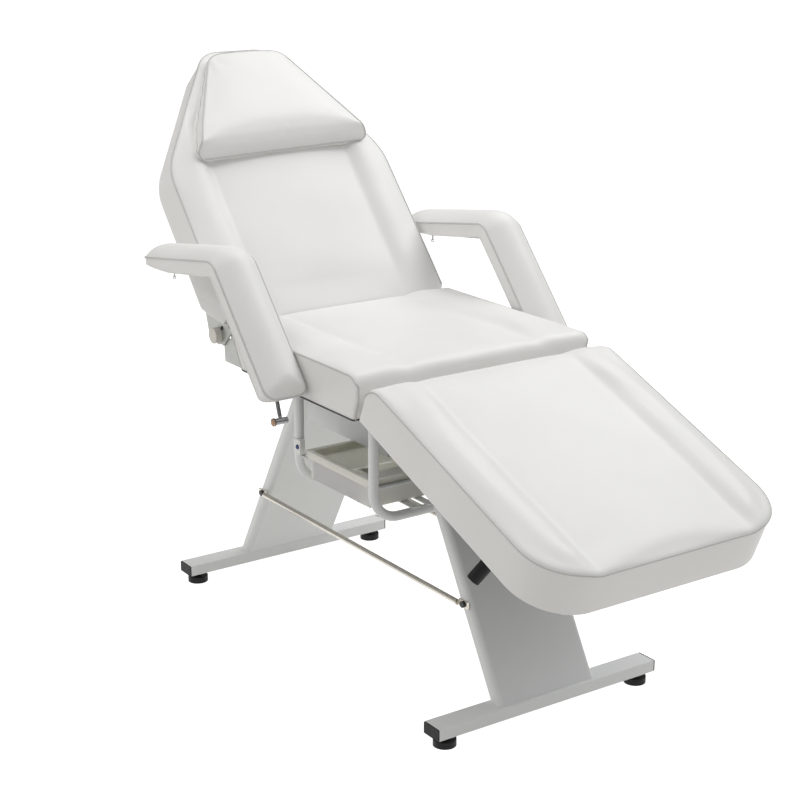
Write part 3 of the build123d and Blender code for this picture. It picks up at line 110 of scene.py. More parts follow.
glow = floor_tree.nodes.new("ShaderNodeMapRange")
glow.inputs["To Min"].default_value = 0.16
glow.inputs["To Max"].default_value = 0.95
floor_tree.links.new(seen.outputs["Value"], glow.inputs["Value"])
floor_tree.links.new(glow.outputs["Result"], floor_shader.inputs["Emission Strength"])
floor_mesh.materials.append(floor_mat)


# Base: two leaning legs on foot bars, the chassis plate with its box, and the
# hoops and bars that carry the trays. All of it is steel, welded and powder coated white.
def grain_height(tree, place, kind, scale):
    """The height of a fine grain: leather cells, brushed lines or an even noise."""
    if kind == "leather":
        cells = tree.nodes.new("ShaderNodeTexVoronoi")
        cells.feature = "DISTANCE_TO_EDGE"
        cells.inputs["Scale"].default_value = scale
        tree.links.new(place, cells.inputs["Vector"])
        flat_tops = tree.nodes.new("ShaderNodeMapRange")
        flat_tops.inputs["From Max"].default_value = 0.35
        tree.links.new(cells.outputs["Distance"], flat_tops.inputs["Value"])
        return flat_tops.outputs["Result"]
    cells = tree.nodes.new("ShaderNodeTexNoise")
    cells.inputs["Scale"].default_value = scale
    cells.inputs["Detail"].default_value = 3
    if kind == "brushed":
        stretch = tree.nodes.new("ShaderNodeMapping")
        stretch.inputs["Scale"].default_value = (1, 30, 30)
        tree.links.new(place, stretch.inputs["Vector"])
        place = stretch.outputs["Vector"]
    tree.links.new(place, cells.inputs["Vector"])
    return cells.outputs["Fac"]


def surface(name, colour, rough, grain, metal=0.0, mottle=0.04, coat=0.0):
    """A finish with a slow change of colour, a fine change of roughness and a grain.

    The grain is its kind, its scale and its depth in metres.
    """
    mat = bpy.data.materials.new(name)
    mat.use_nodes = True
    tree = mat.node_tree
    shader = tree.nodes["Principled BSDF"]
    shader.inputs["Metallic"].default_value = metal
    shader.inputs["Coat Weight"].default_value = coat
    shader.inputs["Coat Roughness"].default_value = 0.25
    place = tree.nodes.new("ShaderNodeTexCoord").outputs["Object"]
    slow = tree.nodes.new("ShaderNodeTexNoise")
    slow.inputs["Scale"].default_value = 7
    slow.inputs["Detail"].default_value = 4
    tree.links.new(place, slow.inputs["Vector"])
    tone = tree.nodes.new("ShaderNodeValToRGB")
    dark_end, light_end = tone.color_ramp.elements
    dark_end.position = 0.3
    dark_end.color = (*[c * (1 - mottle) for c in colour], 1)
    light_end.position = 0.7
    light_end.color = (*[c * (1 + mottle) for c in colour], 1)
    tree.links.new(slow.outputs["Fac"], tone.inputs["Fac"])
    tree.links.new(tone.outputs["Color"], shader.inputs["Base Color"])
    fine = tree.nodes.new("ShaderNodeTexNoise")
    fine.inputs["Scale"].default_value = 90
    fine.inputs["Detail"].default_value = 6
    tree.links.new(place, fine.inputs["Vector"])
    spread = tree.nodes.new("ShaderNodeMapRange")
    spread.inputs["To Min"].default_value = rough * 0.85
    spread.inputs["To Max"].default_value = min(1, rough * 1.2)
    tree.links.new(fine.outputs["Fac"], spread.inputs["Value"])
    tree.links.new(spread.outputs["Result"], shader.inputs["Roughness"])
    kind, scale, depth = grain
    bump = tree.nodes.new("ShaderNodeBump")
    bump.inputs["Strength"].default_value = 0.55
    bump.inputs["Distance"].default_value = depth
    tree.links.new(grain_height(tree, place, kind, scale), bump.inputs["Height"])
    tree.links.new(bump.outputs["Normal"], shader.inputs["Normal"])
    return mat


def give_finish(mat, nodes):
    """Give a finish to solids of the table."""
    for node in nodes:
        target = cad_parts[node]
        if not target.material_slots:
            target.data.materials.append(mat)
        for mat_slot in target.material_slots:
            mat_slot.material = mat


powder = surface("white_powder_coat", (0.86, 0.875, 0.87), 0.38, ("noise", 900, 0.00008), mottle=0.012)
give_finish(powder, [
    "front_foot_bar", "rear_foot_bar", "front_leg", "rear_leg", "chassis_plate", "centre_box",
    "tray_hoops", "tray_support_bars", "tray_runners",
])

# Feet, caps and grips: moulded black plastic with a dull face. The feet screw into
# the foot bars, the caps close the bars' ends and the grips are pressed on the levers.
black_plastic = surface("black_plastic", (0.02, 0.02, 0.022), 0.5, ("noise", 1200, 0.00012), mottle=0.15)
black_plastic.node_tree.nodes["Principled BSDF"].inputs["Specular IOR Level"].default_value = 0.2
give_finish(black_plastic, [
    "foot_bar_end_caps", "back_lever_grip", "leg_lever_grip", "front_near_levelling_foot",
    "front_far_levelling_foot", "rear_near_levelling_foot", "rear_far_levelling_foot",
])

# Rods, struts and pins: nickel-plated tie rods, levers and strut rods, struts and
# arm cores in black satin paint, and dark steel bolts and pins.
nickel = surface("nickel_rod", (0.58, 0.55, 0.50), 0.26, ("brushed", 120, 0.00003), metal=1.0, mottle=0.06)
give_finish(nickel, [
    "tie_rods", "back_release_lever", "leg_release_lever", "back_strut_rod", "leg_strut_rod",
])
black_paint = surface("black_satin", (0.025, 0.025, 0.027), 0.35, ("noise", 700, 0.00005), mottle=0.1)
give_finish(black_paint, ["back_strut_cylinder", "leg_strut_cylinder", "near_arm_core", "far_arm_core"])
dark_steel = surface("dark_steel", (0.045, 0.045, 0.05), 0.4, ("noise", 500, 0.00005), metal=0.6, mottle=0.1)
give_finish(dark_steel, ["back_hinge_pins", "leg_hinge_pins", "strut_lower_pins", "tie_rod_bolts"])

# Trays: thin moulded cream plastic that lets some light through. Their rims slide on
# the steel runners, and a white plastic clip sits round the rear hoop at each side.
tray_cream = surface("tray_cream", (0.82, 0.81, 0.72), 0.34, ("noise", 800, 0.00006), mottle=0.012)
tray_shader = tray_cream.node_tree.nodes["Principled BSDF"]
tray_shader.inputs["Subsurface Weight"].default_value = 1
tray_shader.inputs["Subsurface Radius"].default_value = (1, 1, 0.85)
tray_shader.inputs["Subsurface Scale"].default_value = 0.02
give_finish(tray_cream, ["near_tray", "far_tray"])
white_plastic = surface("white_plastic", (0.84, 0.84, 0.83), 0.3, ("noise", 600, 0.00004), mottle=0.01)
give_finish(white_plastic, ["tray_clips"])

# Section frames: white tubes and rails under plywood boards, with black dust cloth stapled below, hinge
# plates at the back and a cap on each back plate. The plates' dark grey is partly their paint and partly
# painted shade, and the cap's cream is partly its own tone and partly painted shade, for the shadow where the
# seat meets the back.
give_finish(powder, [
    "seat_frame_rails", "seat_cross_tubes", "back_frame_rails", "back_cross_tubes",
    "leg_frame_rails", "leg_cross_tubes", "arm_stubs",
])
plywood = surface("plywood", (0.52, 0.38, 0.23), 0.7, ("brushed", 60, 0.0003), mottle=0.15)
give_finish(plywood, ["seat_board", "back_board", "leg_board"])
dust_cloth = surface("dust_cloth", (0.02, 0.02, 0.021), 0.9, ("noise", 1500, 0.0003), mottle=0.2)
give_finish(dust_cloth, ["seat_underside_cloth", "back_underside_cloth", "leg_underside_cloth"])
# The plates' dark grey is partly painted shade, for the shadow they sit in between the seat and the back.
plate_grey_and_painted_shade = surface("hinge_plate_grey_and_painted_shade", (0.46, 0.47, 0.45), 0.42, ("noise", 260, 0.00006), metal=0.7, mottle=0.12)
give_finish(plate_grey_and_painted_shade, ["seat_hinge_plates", "back_hinge_plates"])
# The cap's cream is partly its own pale tone and partly painted shade, for the shadow beside the hinge.
cap_with_painted_shade = surface("cap_with_painted_shade", (0.74, 0.71, 0.66), 0.36, ("noise", 600, 0.00004), mottle=0.02)
give_finish(cap_with_painted_shade, ["back_plate_caps"])

# Seat cushion: foam on a board under white vinyl. The top panel is sewn to the
# side panels over a cord, has a bolster along each side and wraps over the front.
vinyl = surface("white_vinyl", (0.86, 0.855, 0.84), 0.44, ("leather", 850, 0.00012), mottle=0.015, coat=0.06)
give_finish(vinyl, ["seat_cushion"])
# The piping's grey is painted shade: it stands in for the thin shadow line beside each light cord.
piping_painted_shade_mat = surface("piping_painted_shade", (0.6, 0.6, 0.585), 0.42, ("leather", 1100, 0.0001), mottle=0.03)
piping_radius = 0.0021
low_edge_cord_radius = 0.0019
seat_front = 0.2166
seat_rear = -0.299
seat_half = 0.3
seat_level = 0.717
seat_crease = 0.172
seat_low = -0.0965
seat_depth = 0.097
seat_front_radius = 0.026
seat_lean = 0.054
seat_lean_start = -0.13
seat_tuck = 0.012
seat_tuck_level = -0.05
seat_tuck_start = 0.17
seat_reach_end = 0.7
seam_radius = 0.003
end_corner_radius = 0.006
seat_cell = 0.0075
seam_sink = 0.0006
cushion_pressure = 1.6
cushion_growth = 0.005
side_shares = [0.04, 0.12, 0.25, 0.4, 0.55, 0.7, 0.85, 0.96, 1.0]


def rounded(corners):
    """An outline as plan points, from corners that are each x, y and a radius."""
    arc_step = 0.004
    out = []
    for i, (x, y, radius) in enumerate(corners):
        before = np.array(corners[i - 1][:2]) - (x, y)
        after = np.array(corners[(i + 1) % len(corners)][:2]) - (x, y)
        before /= np.hypot(*before)
        after /= np.hypot(*after)
        half = np.arccos(np.clip(before @ after, -1, 1)) / 2
        middle = (before + after) / np.hypot(*(before + after)) * radius / sin(half) + (x, y)
        start = before * radius / np.tan(half) + (x, y)
        end = after * radius / np.tan(half) + (x, y)
        first = atan2(*(start - middle)[::-1])
        last = atan2(*(end - middle)[::-1])
        turn = (last - first + pi) % (2 * pi) - pi
        steps = max(6, int(abs(turn) * radius / arc_step))
        for k in range(steps + 1):
            angle = first + turn * k / steps
            out.append((middle[0] + radius * cos(angle), middle[1] + radius * sin(angle)))
    return np.array(out)


def edge_distance(plan, outline):
    """How far each plan point lies from the outline."""
    best = np.full(len(plan), np.inf)
    for start, end in zip(outline, np.roll(outline, -1, axis=0)):
        side = end - start
        share = np.clip((plan - start) @ side / max(side @ side, 1e-12), 0, 1)
        best = np.minimum(best, np.hypot(*(plan - start - share[:, None] * side).T))
    return best


def width_at(x, outline):
    """Half the outline's width at x."""
    best = 0.0
    for start, end in zip(outline, np.roll(outline, -1, axis=0)):
        if (start[0] - x) * (end[0] - x) <= 0 and abs(start[0] - end[0]) > 1e-9:
            share = (x - start[0]) / (end[0] - start[0])
            best = max(best, abs(start[1] + share * (end[1] - start[1])))
    return best


def row_places(outline, top, cell):
    """Where a cover's rows lie, its half widths there, and how many columns it has.

    The rows lie closer together where the cover narrows or falls.
    """
    inset = 1e-6
    narrowing_share = 0.6
    falling_share = 2.2
    fine = np.linspace(outline[:, 0].min() + inset, outline[:, 0].max() - inset, 900)
    wide = np.array([width_at(x, outline) for x in fine])
    tall = top(fine, 0 * fine, 0 * fine + 1)
    sloped = np.hypot(np.diff(fine), narrowing_share * np.diff(wide))
    steps = np.hypot(sloped, falling_share * np.diff(tall))
    run = np.concatenate([[0], np.cumsum(steps)])
    rows = int(run[-1] / cell)
    places = np.interp(np.linspace(0, run[-1], rows + 1), run, fine)
    return places, np.interp(places, fine, wide), int(2 * wide.max() / cell)


def grid_cube(rows, cols, sides):
    """A cube cut into rows, columns and side levels."""
    work = bmesh.new()
    bmesh.ops.create_cube(work, size=2)
    for axis, cuts in enumerate((rows - 1, cols - 1, sides - 1)):
        runs = [e for e in work.edges if abs(e.verts[0].co[axis] - e.verts[1].co[axis]) > 1]
        bmesh.ops.subdivide_edges(work, edges=runs, cuts=cuts, use_grid_fill=True)
    work.verts.index_update()
    return work


def smooth_piece(name, work, mat):
    """A smooth object of a finished mesh, with its faces turned outwards."""
    bmesh.ops.recalc_face_normals(work, faces=work.faces)
    data = bpy.data.meshes.new(name)
    work.to_mesh(data)
    work.free()
    data.materials.append(mat)
    for poly in data.polygons:
        poly.use_smooth = True
    obj = bpy.data.objects.new(name, data)
    scene.collection.objects.link(obj)
    return obj


def cover(name, outline, reach_line, cell, top, low, place, draw, shares):
    """A closed cover: a cube cut into rows, columns and side levels, laid over its outline.

    The top rolls off near the reach line, which runs on past an end that has no seam
    across it. The cover comes back as the object, its vertex numbers by row, column
    and level, its border as rows and columns, and each crossing's place across it.
    """
    crowding = 0.45
    places, halves, cols = row_places(outline, top, cell)
    rows = len(places) - 1
    sides = len(shares)
    even = np.linspace(-1, 1, cols + 1)
    across = halves[:, None] * (even + crowding * np.sin(pi * even) / pi)
    along = places[:, None] + 0 * even
    spots = np.stack([along.ravel(), across.ravel()], axis=1)
    edge = edge_distance(spots, reach_line).reshape(along.shape)
    upper = top(along, across, edge)
    lower = low(along, across)
    loop = [(0, j) for j in range(cols + 1)]
    loop += [(i, cols) for i in range(1, rows + 1)]
    loop += [(rows, j) for j in range(cols - 1, -1, -1)]
    loop += [(i, 0) for i in range(rows - 1, 0, -1)]
    li, lj = np.array(loop).T
    ring = np.stack([along[li, lj], across[li, lj]], axis=1)
    ahead = np.roll(ring, -1, axis=0) - np.roll(ring, 1, axis=0)
    ahead /= np.maximum(np.hypot(*ahead.T), 1e-9)[:, None]
    outward = np.zeros((rows + 1, cols + 1, 2))
    outward[li, lj, 0] = -ahead[:, 1]
    outward[li, lj, 1] = ahead[:, 0]
    if outward[rows, cols // 2, 0] < 0:
        outward *= -1
    round_run = np.zeros((rows + 1, cols + 1))
    round_run[li, lj] = np.arange(len(loop)) * cell
    work = grid_cube(rows, cols, sides)
    corners = np.array([v.co for v in work.verts])
    i = np.rint((corners[:, 0] + 1) / 2 * rows).astype(int)
    j = np.rint((corners[:, 1] + 1) / 2 * cols).astype(int)
    k = np.rint((1 - corners[:, 2]) / 2 * sides).astype(int)
    share = np.array([0.0] + shares)[k]
    stand = draw(share, round_run[i, j]) * (k > 0)
    x = along[i, j] + outward[i, j, 0] * stand
    y = across[i, j] + outward[i, j, 1] * stand
    for v, spot in zip(work.verts, place(x, y, upper[i, j] + (lower[i, j] - upper[i, j]) * share)):
        v.co = spot
    numbers = -np.ones((rows + 1, cols + 1, sides + 1), int)
    numbers[i, j, k] = np.arange(len(corners))
    return smooth_piece(name, work, vinyl), numbers, loop, across


def tilted(x, z, angle):
    """A placing function for a section with its own x along the cushion and w out of it."""
    a = radians(angle)
    return lambda u, y, w: np.stack([x + u * cos(a) + w * sin(a), y, z - u * sin(a) + w * cos(a)], axis=-1)


def pins(at, across, crease, hinge_rows=()):
    """The vertices a cover is held at: its underside, its seams, creases and hinge end."""
    crease_reach = 0.005
    held = [at[:, :, -1].ravel(), at[0, :, 0], at[-1, :, 0], at[:, 0, 0], at[:, -1, 0]]
    held += [at[0, 0], at[-1, 0], at[0, -1], at[-1, -1]]
    held += [at[row].ravel() for row in hinge_rows]
    if crease:
        held.append(at[:, :, 0][np.abs(np.abs(across) - crease) < crease_reach])
    return np.unique(np.concatenate(held))


def swell(obj, pinned, pressure, growth):
    """Let the cover swell between its pinned seams, by no more than growth, and keep the shape."""
    frames = 12
    before = np.empty(len(obj.data.vertices) * 3)
    obj.data.vertices.foreach_get("co", before)
    group = obj.vertex_groups.new(name="seams")
    group.add([int(v) for v in pinned if v >= 0], 1.0, "REPLACE")
    cloth = obj.modifiers.new("swell", "CLOTH")
    cloth.settings.vertex_group_mass = "seams"
    cloth.settings.mass = 0.4
    cloth.settings.tension_stiffness = 30
    cloth.settings.compression_stiffness = 12
    cloth.settings.shear_stiffness = 12
    cloth.settings.bending_stiffness = 2
    cloth.settings.use_pressure = True
    cloth.settings.uniform_pressure_force = pressure
    cloth.settings.effector_weights.gravity = 0
    cloth.settings.quality = 5
    cloth.point_cache.frame_start = 1
    cloth.point_cache.frame_end = frames
    for step in range(1, frames + 1):
        scene.frame_set(step)
    evaluated = obj.evaluated_get(bpy.context.evaluated_depsgraph_get())
    after = np.empty(len(before))
    evaluated.data.vertices.foreach_get("co", after)
    obj.modifiers.remove(cloth)
    obj.vertex_groups.remove(group)
    scene.frame_set(1)
    shift = (after - before).reshape(-1, 3)
    size = np.maximum(np.hypot(np.hypot(shift[:, 0], shift[:, 1]), shift[:, 2]), 1e-9)
    shift *= (np.minimum(size, growth) / size)[:, None]
    obj.data.vertices.foreach_set("co", before + shift.ravel())
    obj.data.update()


def finer(obj):
    """Subdivide a cover once its shape is settled."""
    mod = obj.modifiers.new("finer", "SUBSURF")
    mod.levels = 1
    mod.render_levels = 1


def cord_line(name, obj, numbers, radius, body, closed=True, mat=piping_painted_shade_mat):
    """A thin round cord sewn along a seam, given as vertex numbers of a cover."""
    curve = bpy.data.curves.new(name, "CURVE")
    curve.dimensions = "3D"
    curve.bevel_depth = radius
    curve.bevel_resolution = 3
    line = curve.splines.new("NURBS")
    line.points.add(len(numbers) - 1)
    for point, number in zip(line.points, numbers):
        point.co = (*obj.data.vertices[int(number)].co, 1)
    line.order_u = 3
    line.resolution_u = 2
    line.use_endpoint_u = not closed
    line.use_cyclic_u = closed
    curve.use_fill_caps = not closed
    curve.materials.append(mat)
    cord = bpy.data.objects.new(name, curve)
    scene.collection.objects.link(cord)
    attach(cord, body)


def smoothstep(t):
    """A share that starts and ends softly."""
    t = np.clip(t, 0, 1)
    return t * t * (3 - 2 * t)


def edge_roll(edge, reach, fall):
    """How far the top drops near its edge: a quarter round that ends at the seam."""
    t = np.clip(1 - edge / reach, 0, 1)
    return fall * (1 - np.sqrt(np.maximum(1 - t * t, 0)))


def wrap(x, end, direction, radius):
    """How far the top panel falls where it wraps over an end, in a quarter round."""
    out = np.clip((x - end) * direction + radius, 0, radius)
    return radius - np.sqrt(radius**2 - out**2)


def bolstered(crease, half, level, end, direction):
    """A height profile with a bolster along each side, which fades towards a hinge end."""
    rise = 0.0125
    foot = 0.004
    slope_run = 0.036
    valley_dip = 0.0028
    valley_place = 0.008
    valley_reach = 0.017
    middle_rise = 0.004
    edge_run = 0.055
    end_run = 0.14
    roll_reach = 0.015
    roll_fall = 0.006
    uneven = 0.0007

    def height(x, y, edge):
        side = np.abs(y)
        t = np.clip((side - crease) / (half - crease), 0, 1)
        bolster = rise * smoothstep((side - crease + foot) / slope_run)
        bolster = bolster * (1 - 0.75 * smoothstep((t - 0.35) / 0.65))
        valley = -valley_dip * np.exp(-(((side - crease + valley_place) / valley_reach) ** 2))
        dish = middle_rise * (1 - (np.minimum(side, crease) / crease) ** 2)
        fade = smoothstep(edge / edge_run)
        plain = smoothstep(0.1 + (end - x) * direction / end_run)
        ease = uneven * np.sin(31 * x + 9 * y) * np.sin(23 * y - 7 * x + 1)
        shape = bolster * (0.2 + 0.8 * plain) + valley * (0.5 + 0.5 * plain)
        roll = edge_roll(edge, roll_reach, roll_fall)
        return level + shape * (0.35 + 0.65 * fade) + (dish * plain + ease) * fade - roll
    return height


def flat_side(share, run):
    """A side panel that stays just inside its two seams."""
    return -seam_sink + 0 * share


seat_rear_corners = [(seat_rear, -seat_half, seam_radius), (seat_rear, seat_half, seam_radius)]
seat_line = rounded(seat_rear_corners + [
    (seat_front, seat_half, end_corner_radius), (seat_front, -seat_half, end_corner_radius),
])
seat_reach = rounded(seat_rear_corners + [
    (seat_reach_end, seat_half, seam_radius), (seat_reach_end, -seat_half, seam_radius),
])
seat_crown = bolstered(seat_crease, seat_half, 0, seat_front, 1)
seat_place = tilted(0, seat_level, 0)


def seat_top(x, y, edge):
    return seat_crown(x, y, edge) - wrap(x, seat_front, 1, seat_front_radius)


def seat_sloped(x, y, w):
    """Lean the rear end forwards under the back, and tuck the front end in below."""
    lean_run = seat_lean_start - seat_rear
    tuck_run = 0.045
    tuck_depth = 0.04
    depth = np.clip(-w / seat_depth, 0, 1)
    rear = seat_lean * smoothstep((seat_lean_start - x) / lean_run) * depth
    low_share = smoothstep((seat_tuck_level - w) / tuck_depth)
    tuck = seat_tuck * low_share * smoothstep((x - seat_tuck_start) / tuck_run)
    return seat_place(x + rear - tuck, y, w)


seat_skin, seat_at, seat_loop, seat_across = cover(
    "seat_cover", seat_line, seat_reach, seat_cell, seat_top,
    lambda x, y: np.full(x.shape, seat_low), seat_sloped, flat_side, side_shares,
)
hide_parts("seat_cushion")
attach(seat_skin, "base")
seat_pins = pins(seat_at, seat_across, seat_crease, range(6))
swell(seat_skin, seat_pins, cushion_pressure, cushion_growth)
for side, label in ((0, "near"), (-1, "far")):
    seam = [*seat_at[0, side, ::-1], *seat_at[1:-1, side, 0], *seat_at[-1, side, :]]
    cord_line(f"seat_{label}_piping", seat_skin, seam, piping_radius, "base", closed=False)
# A black cord along the cover's lower edge draws a thin dark line under the seat.
seat_low_edge = [seat_at[i, j, -1] for i, j in seat_loop]
cord_line("seat_low_edge_dark_cord", seat_skin, seat_low_edge, low_edge_cord_radius, "base", mat=black_paint)
finer(seat_skin)

# Back cushion: foam on a board under the same vinyl. Its lower end turns round the
# hinge, with a notch at each corner for the hinge plates, and its underside is cut
# away near the hinge, where the strut passes.
give_finish(vinyl, ["back_cushion"])
back_angle = 49.3
hinge_x = -0.315
hinge_z = 0.703
hinge_radius = 0.014
back_half = 0.293
back_crease = 0.188
back_low = -0.0825
back_shoulder = -0.405
back_shoulder_half = 0.291
back_shoulder_radius = 0.15
back_head = -0.71
back_head_half = 0.088
back_head_radius = 0.07
back_piping_end = -0.012
back_reach_end = 0.6
back_cell = 0.0078
cutter_reach = 0.2
cutter_depth = 0.3
cutter_rise = 0.06
plate_clearance_radius = 0.0135
plate_notch_start = 0.2685
plate_notch_width = 0.13
back_board_end = -0.06
back_board_level = -0.0306
back_pocket_half = 0.284
back_corners = [
    (back_shoulder, back_shoulder_half, back_shoulder_radius),
    (back_head, back_head_half, back_head_radius),
    (back_head, -back_head_half, back_head_radius),
    (back_shoulder, -back_shoulder_half, back_shoulder_radius),
]
back_line = rounded([
    (hinge_radius, -back_half, seam_radius), (hinge_radius, back_half, seam_radius), *back_corners,
])
back_reach = rounded([
    (back_reach_end, -back_half, seam_radius), (back_reach_end, back_half, seam_radius), *back_corners,
])
back_top = bolstered(back_crease, back_half, hinge_radius, hinge_radius, 1)
back_place = tilted(hinge_x, hinge_z, back_angle)


def back_end(w):
    """Where the lower end of the back lies at a level: round the hinge, then a slope."""
    touch_x = 0.00913
    touch_w = -0.01061
    slope_x = -0.087
    slope_w = -0.083
    arc = np.sqrt(np.maximum(hinge_radius**2 - w**2, 0))
    slope = touch_x + (w - touch_w) * (touch_x - slope_x) / (touch_w - slope_w)
    return np.where(w > touch_w, arc, slope)


def back_sloped(x, y, w):
    """Shape the lower end, and ease the change out over the 200 mm above the hinge."""
    eased_from = -0.2
    lower_share = smoothstep((x - eased_from) / (hinge_radius - eased_from))
    return back_place(x + (back_end(w) - hinge_radius) * lower_share, y, w)


back_skin, back_at, _, back_across = cover(
    "back_cover", back_line, back_reach, back_cell, back_top,
    lambda x, y: np.full(x.shape, back_low), back_sloped, flat_side, side_shares,
)
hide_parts("back_cushion")
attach(back_skin, "backrest")
back_pins = pins(back_at, back_across, back_crease, range(-10, 0))
swell(back_skin, back_pins, cushion_pressure, cushion_growth)


def along_back(number):
    """A vertex's place along the back, from its hinge."""
    spot = back_skin.data.vertices[int(number)].co
    return (spot.x - hinge_x) * cos(radians(back_angle)) - (spot.z - hinge_z) * sin(radians(back_angle))


back_seam = [*back_at[:0:-1, 0, 0], *back_at[0, :, 0], *back_at[1:, -1, 0]]
back_seam = [number for number in back_seam if along_back(number) < back_piping_end]
cord_line("back_piping", back_skin, back_seam, piping_radius, "backrest", closed=False)
finer(back_skin)


def cut_away(obj, corners, start, width):
    """Cut a prism out of the back: its corners along the back and out of it, its start in y."""
    work = bmesh.new()
    x, w = np.array(corners).T
    face = work.faces.new([work.verts.new(spot) for spot in back_place(x, np.full(len(x), start), w)])
    grown = bmesh.ops.extrude_face_region(work, geom=[face])["geom"]
    far_side = [v for v in grown if isinstance(v, bmesh.types.BMVert)]
    bmesh.ops.translate(work, verts=far_side, vec=(0, width, 0))
    bmesh.ops.recalc_face_normals(work, faces=work.faces)
    data = bpy.data.meshes.new("cutter")
    work.to_mesh(data)
    work.free()
    cutter = bpy.data.objects.new("cutter", data)
    scene.collection.objects.link(cutter)
    cut = obj.modifiers.new("cut", "BOOLEAN")
    cut.operation = "DIFFERENCE"
    cut.solver = "EXACT"
    cut.object = cutter
    shaped = bpy.data.meshes.new_from_object(obj.evaluated_get(bpy.context.evaluated_depsgraph_get()))
    obj.modifiers.clear()
    obj.data = shaped
    bpy.data.objects.remove(cutter)


round_hinge = [
    (plate_clearance_radius * cos(radians(t)), plate_clearance_radius * sin(radians(t)))
    for t in range(225, 89, -9)
]
around_plates = [
    (-cutter_depth, -cutter_depth), *round_hinge,
    (0, cutter_rise), (cutter_reach, cutter_rise), (cutter_reach, -cutter_depth),
]
cut_away(back_skin, around_plates, -plate_notch_start - plate_notch_width, plate_notch_width)
cut_away(back_skin, around_plates, plate_notch_start, plate_notch_width)
back_pocket = [
    (-cutter_reach, -cutter_reach), (back_board_end, -cutter_reach),
    (back_board_end, back_board_level), (-cutter_reach, back_board_level),
]
cut_away(back_skin, back_pocket, -back_pocket_half, 2 * back_pocket_half)

# Leg rest cushion: foam on a board under the same vinyl, with wide bolsters, broadly
# rounded corners at the foot end and a top panel that wraps down over the rear end.
give_finish(vinyl, ["leg_rest_cushion"])
leg_angle = 21.7
leg_x = 0.2338
leg_z = 0.632
leg_rear = -0.0112
leg_foot_end = 0.6185
leg_half = 0.298
leg_crease = 0.19
leg_level = 0.085
leg_low = -0.0115
leg_rear_radius = 0.046
leg_corner_radius = 0.116
leg_reach_end = -0.5
leg_cell = 0.0078
leg_foot =[(leg_foot_end, leg_half, leg_corner_radius), (leg_foot_end, -leg_half, leg_corner_radius)]
leg_line = rounded([
    (leg_rear, -leg_half, end_corner_radius), (leg_rear, leg_half, end_corner_radius), *leg_foot,
])
leg_reach = rounded([
    (leg_reach_end, -leg_half, seam_radius), (leg_reach_end, leg_half, seam_radius), *leg_foot,
])
leg_crown = bolstered(leg_crease, leg_half, leg_level, leg_rear, -1)
leg_place = tilted(leg_x, leg_z, leg_angle)


def leg_top(x, y, edge):
    return leg_crown(x, y, edge) - wrap(x, leg_rear, -1, leg_rear_radius)


leg_skin, leg_at, _, leg_across = cover(
    "leg_rest_cover", leg_line, leg_reach, leg_cell, leg_top,
    lambda x, y: np.full(x.shape, leg_low), leg_place, flat_side, side_shares,
)
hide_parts("leg_rest_cushion")
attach(leg_skin, "leg_rest")
swell(leg_skin, pins(leg_at, leg_across, leg_crease), cushion_pressure, cushion_growth)
leg_seam = [*leg_at[0, 0, ::-1], *leg_at[1:, 0, 0], *leg_at[-1, 1:, 0]]
leg_seam += [*leg_at[-2:0:-1, -1, 0], *leg_at[0, -1, :]]
cord_line("leg_rest_piping", leg_skin, leg_seam, piping_radius, "leg_rest", closed=False)
finer(leg_skin)

# Head pillow: a foam wedge in the same vinyl that lies on the back, with a slanted
# lower end, one cord around its upper panel and a zip in its gathered side panel.
give_finish(vinyl, ["head_pillow"])
pillow_shift = 0.012
pillow_start = -0.42
pillow_half = 0.233
pillow_head = -0.688
pillow_head_half = 0.096
pillow_depth = 0.064
pillow_taper = 0.03
pillow_narrowing = 0.137
pillow_cell = 0.0062
pillow_pressure = 1.4
pillow_growth = 0.004
zip_radius = 0.0011
gusset_shares = [0.06, 0.2, 0.36, 0.5, 0.64, 0.8, 0.94, 1.0]
zip_level = 4
pillow_low_radius = 0.008
pillow_head_radius = 0.04
pillow_reach_end = -0.2
pillow_reach_half = 0.345
pillow_ends = [
    (pillow_head, pillow_head_half, pillow_head_radius),
    (pillow_head, -pillow_head_half, pillow_head_radius),
]
pillow_line = rounded([
    (pillow_start, -pillow_half, pillow_low_radius),
    (pillow_start, pillow_half, pillow_low_radius),
    *pillow_ends,
])
pillow_reach = rounded([
    (pillow_reach_end, -pillow_reach_half, seam_radius),
    (pillow_reach_end, pillow_reach_half, seam_radius),
    *pillow_ends,
])


def head_share(x):
    """How far x lies from the pillow's lower end to its head end."""
    return np.clip((x - pillow_start) / (pillow_head - pillow_start), 0, 1)


def softest(a, b, k):
    """The lower of two heights, with a rounded change between them."""
    return -k * np.logaddexp(-a / k, -b / k)


def pillow_low(x, y):
    """Just above the back's own top."""
    lift = 0.0006
    spots = np.stack([x.ravel(), y.ravel() + pillow_shift], axis=1)
    reach = edge_distance(spots, back_reach).reshape(x.shape)
    return back_top(x, y + pillow_shift, reach) + lift


def pillow_top(x, y, edge):
    """A crowned wedge with a slanted face at its lower end."""
    crown_rise = 0.008
    slant_low = 0.03
    slant_slope = 1.05
    slant_blend = 0.0025
    roll_reach = 0.012
    roll_fall = 0.005
    least_depth = 0.004
    share = head_share(x)
    full = pillow_depth - pillow_taper * share
    half = pillow_half - pillow_narrowing * share
    crown = crown_rise * (1 - np.clip(np.abs(y) / half, 0, 1) ** 2) * smoothstep(share * 4)
    slant = slant_low + (pillow_start - x) * slant_slope
    roll = edge_roll(edge, roll_reach, roll_fall) * smoothstep(share * 12)
    return np.maximum(softest(full + crown, slant, slant_blend) - roll, pillow_low(x, y) + least_depth)


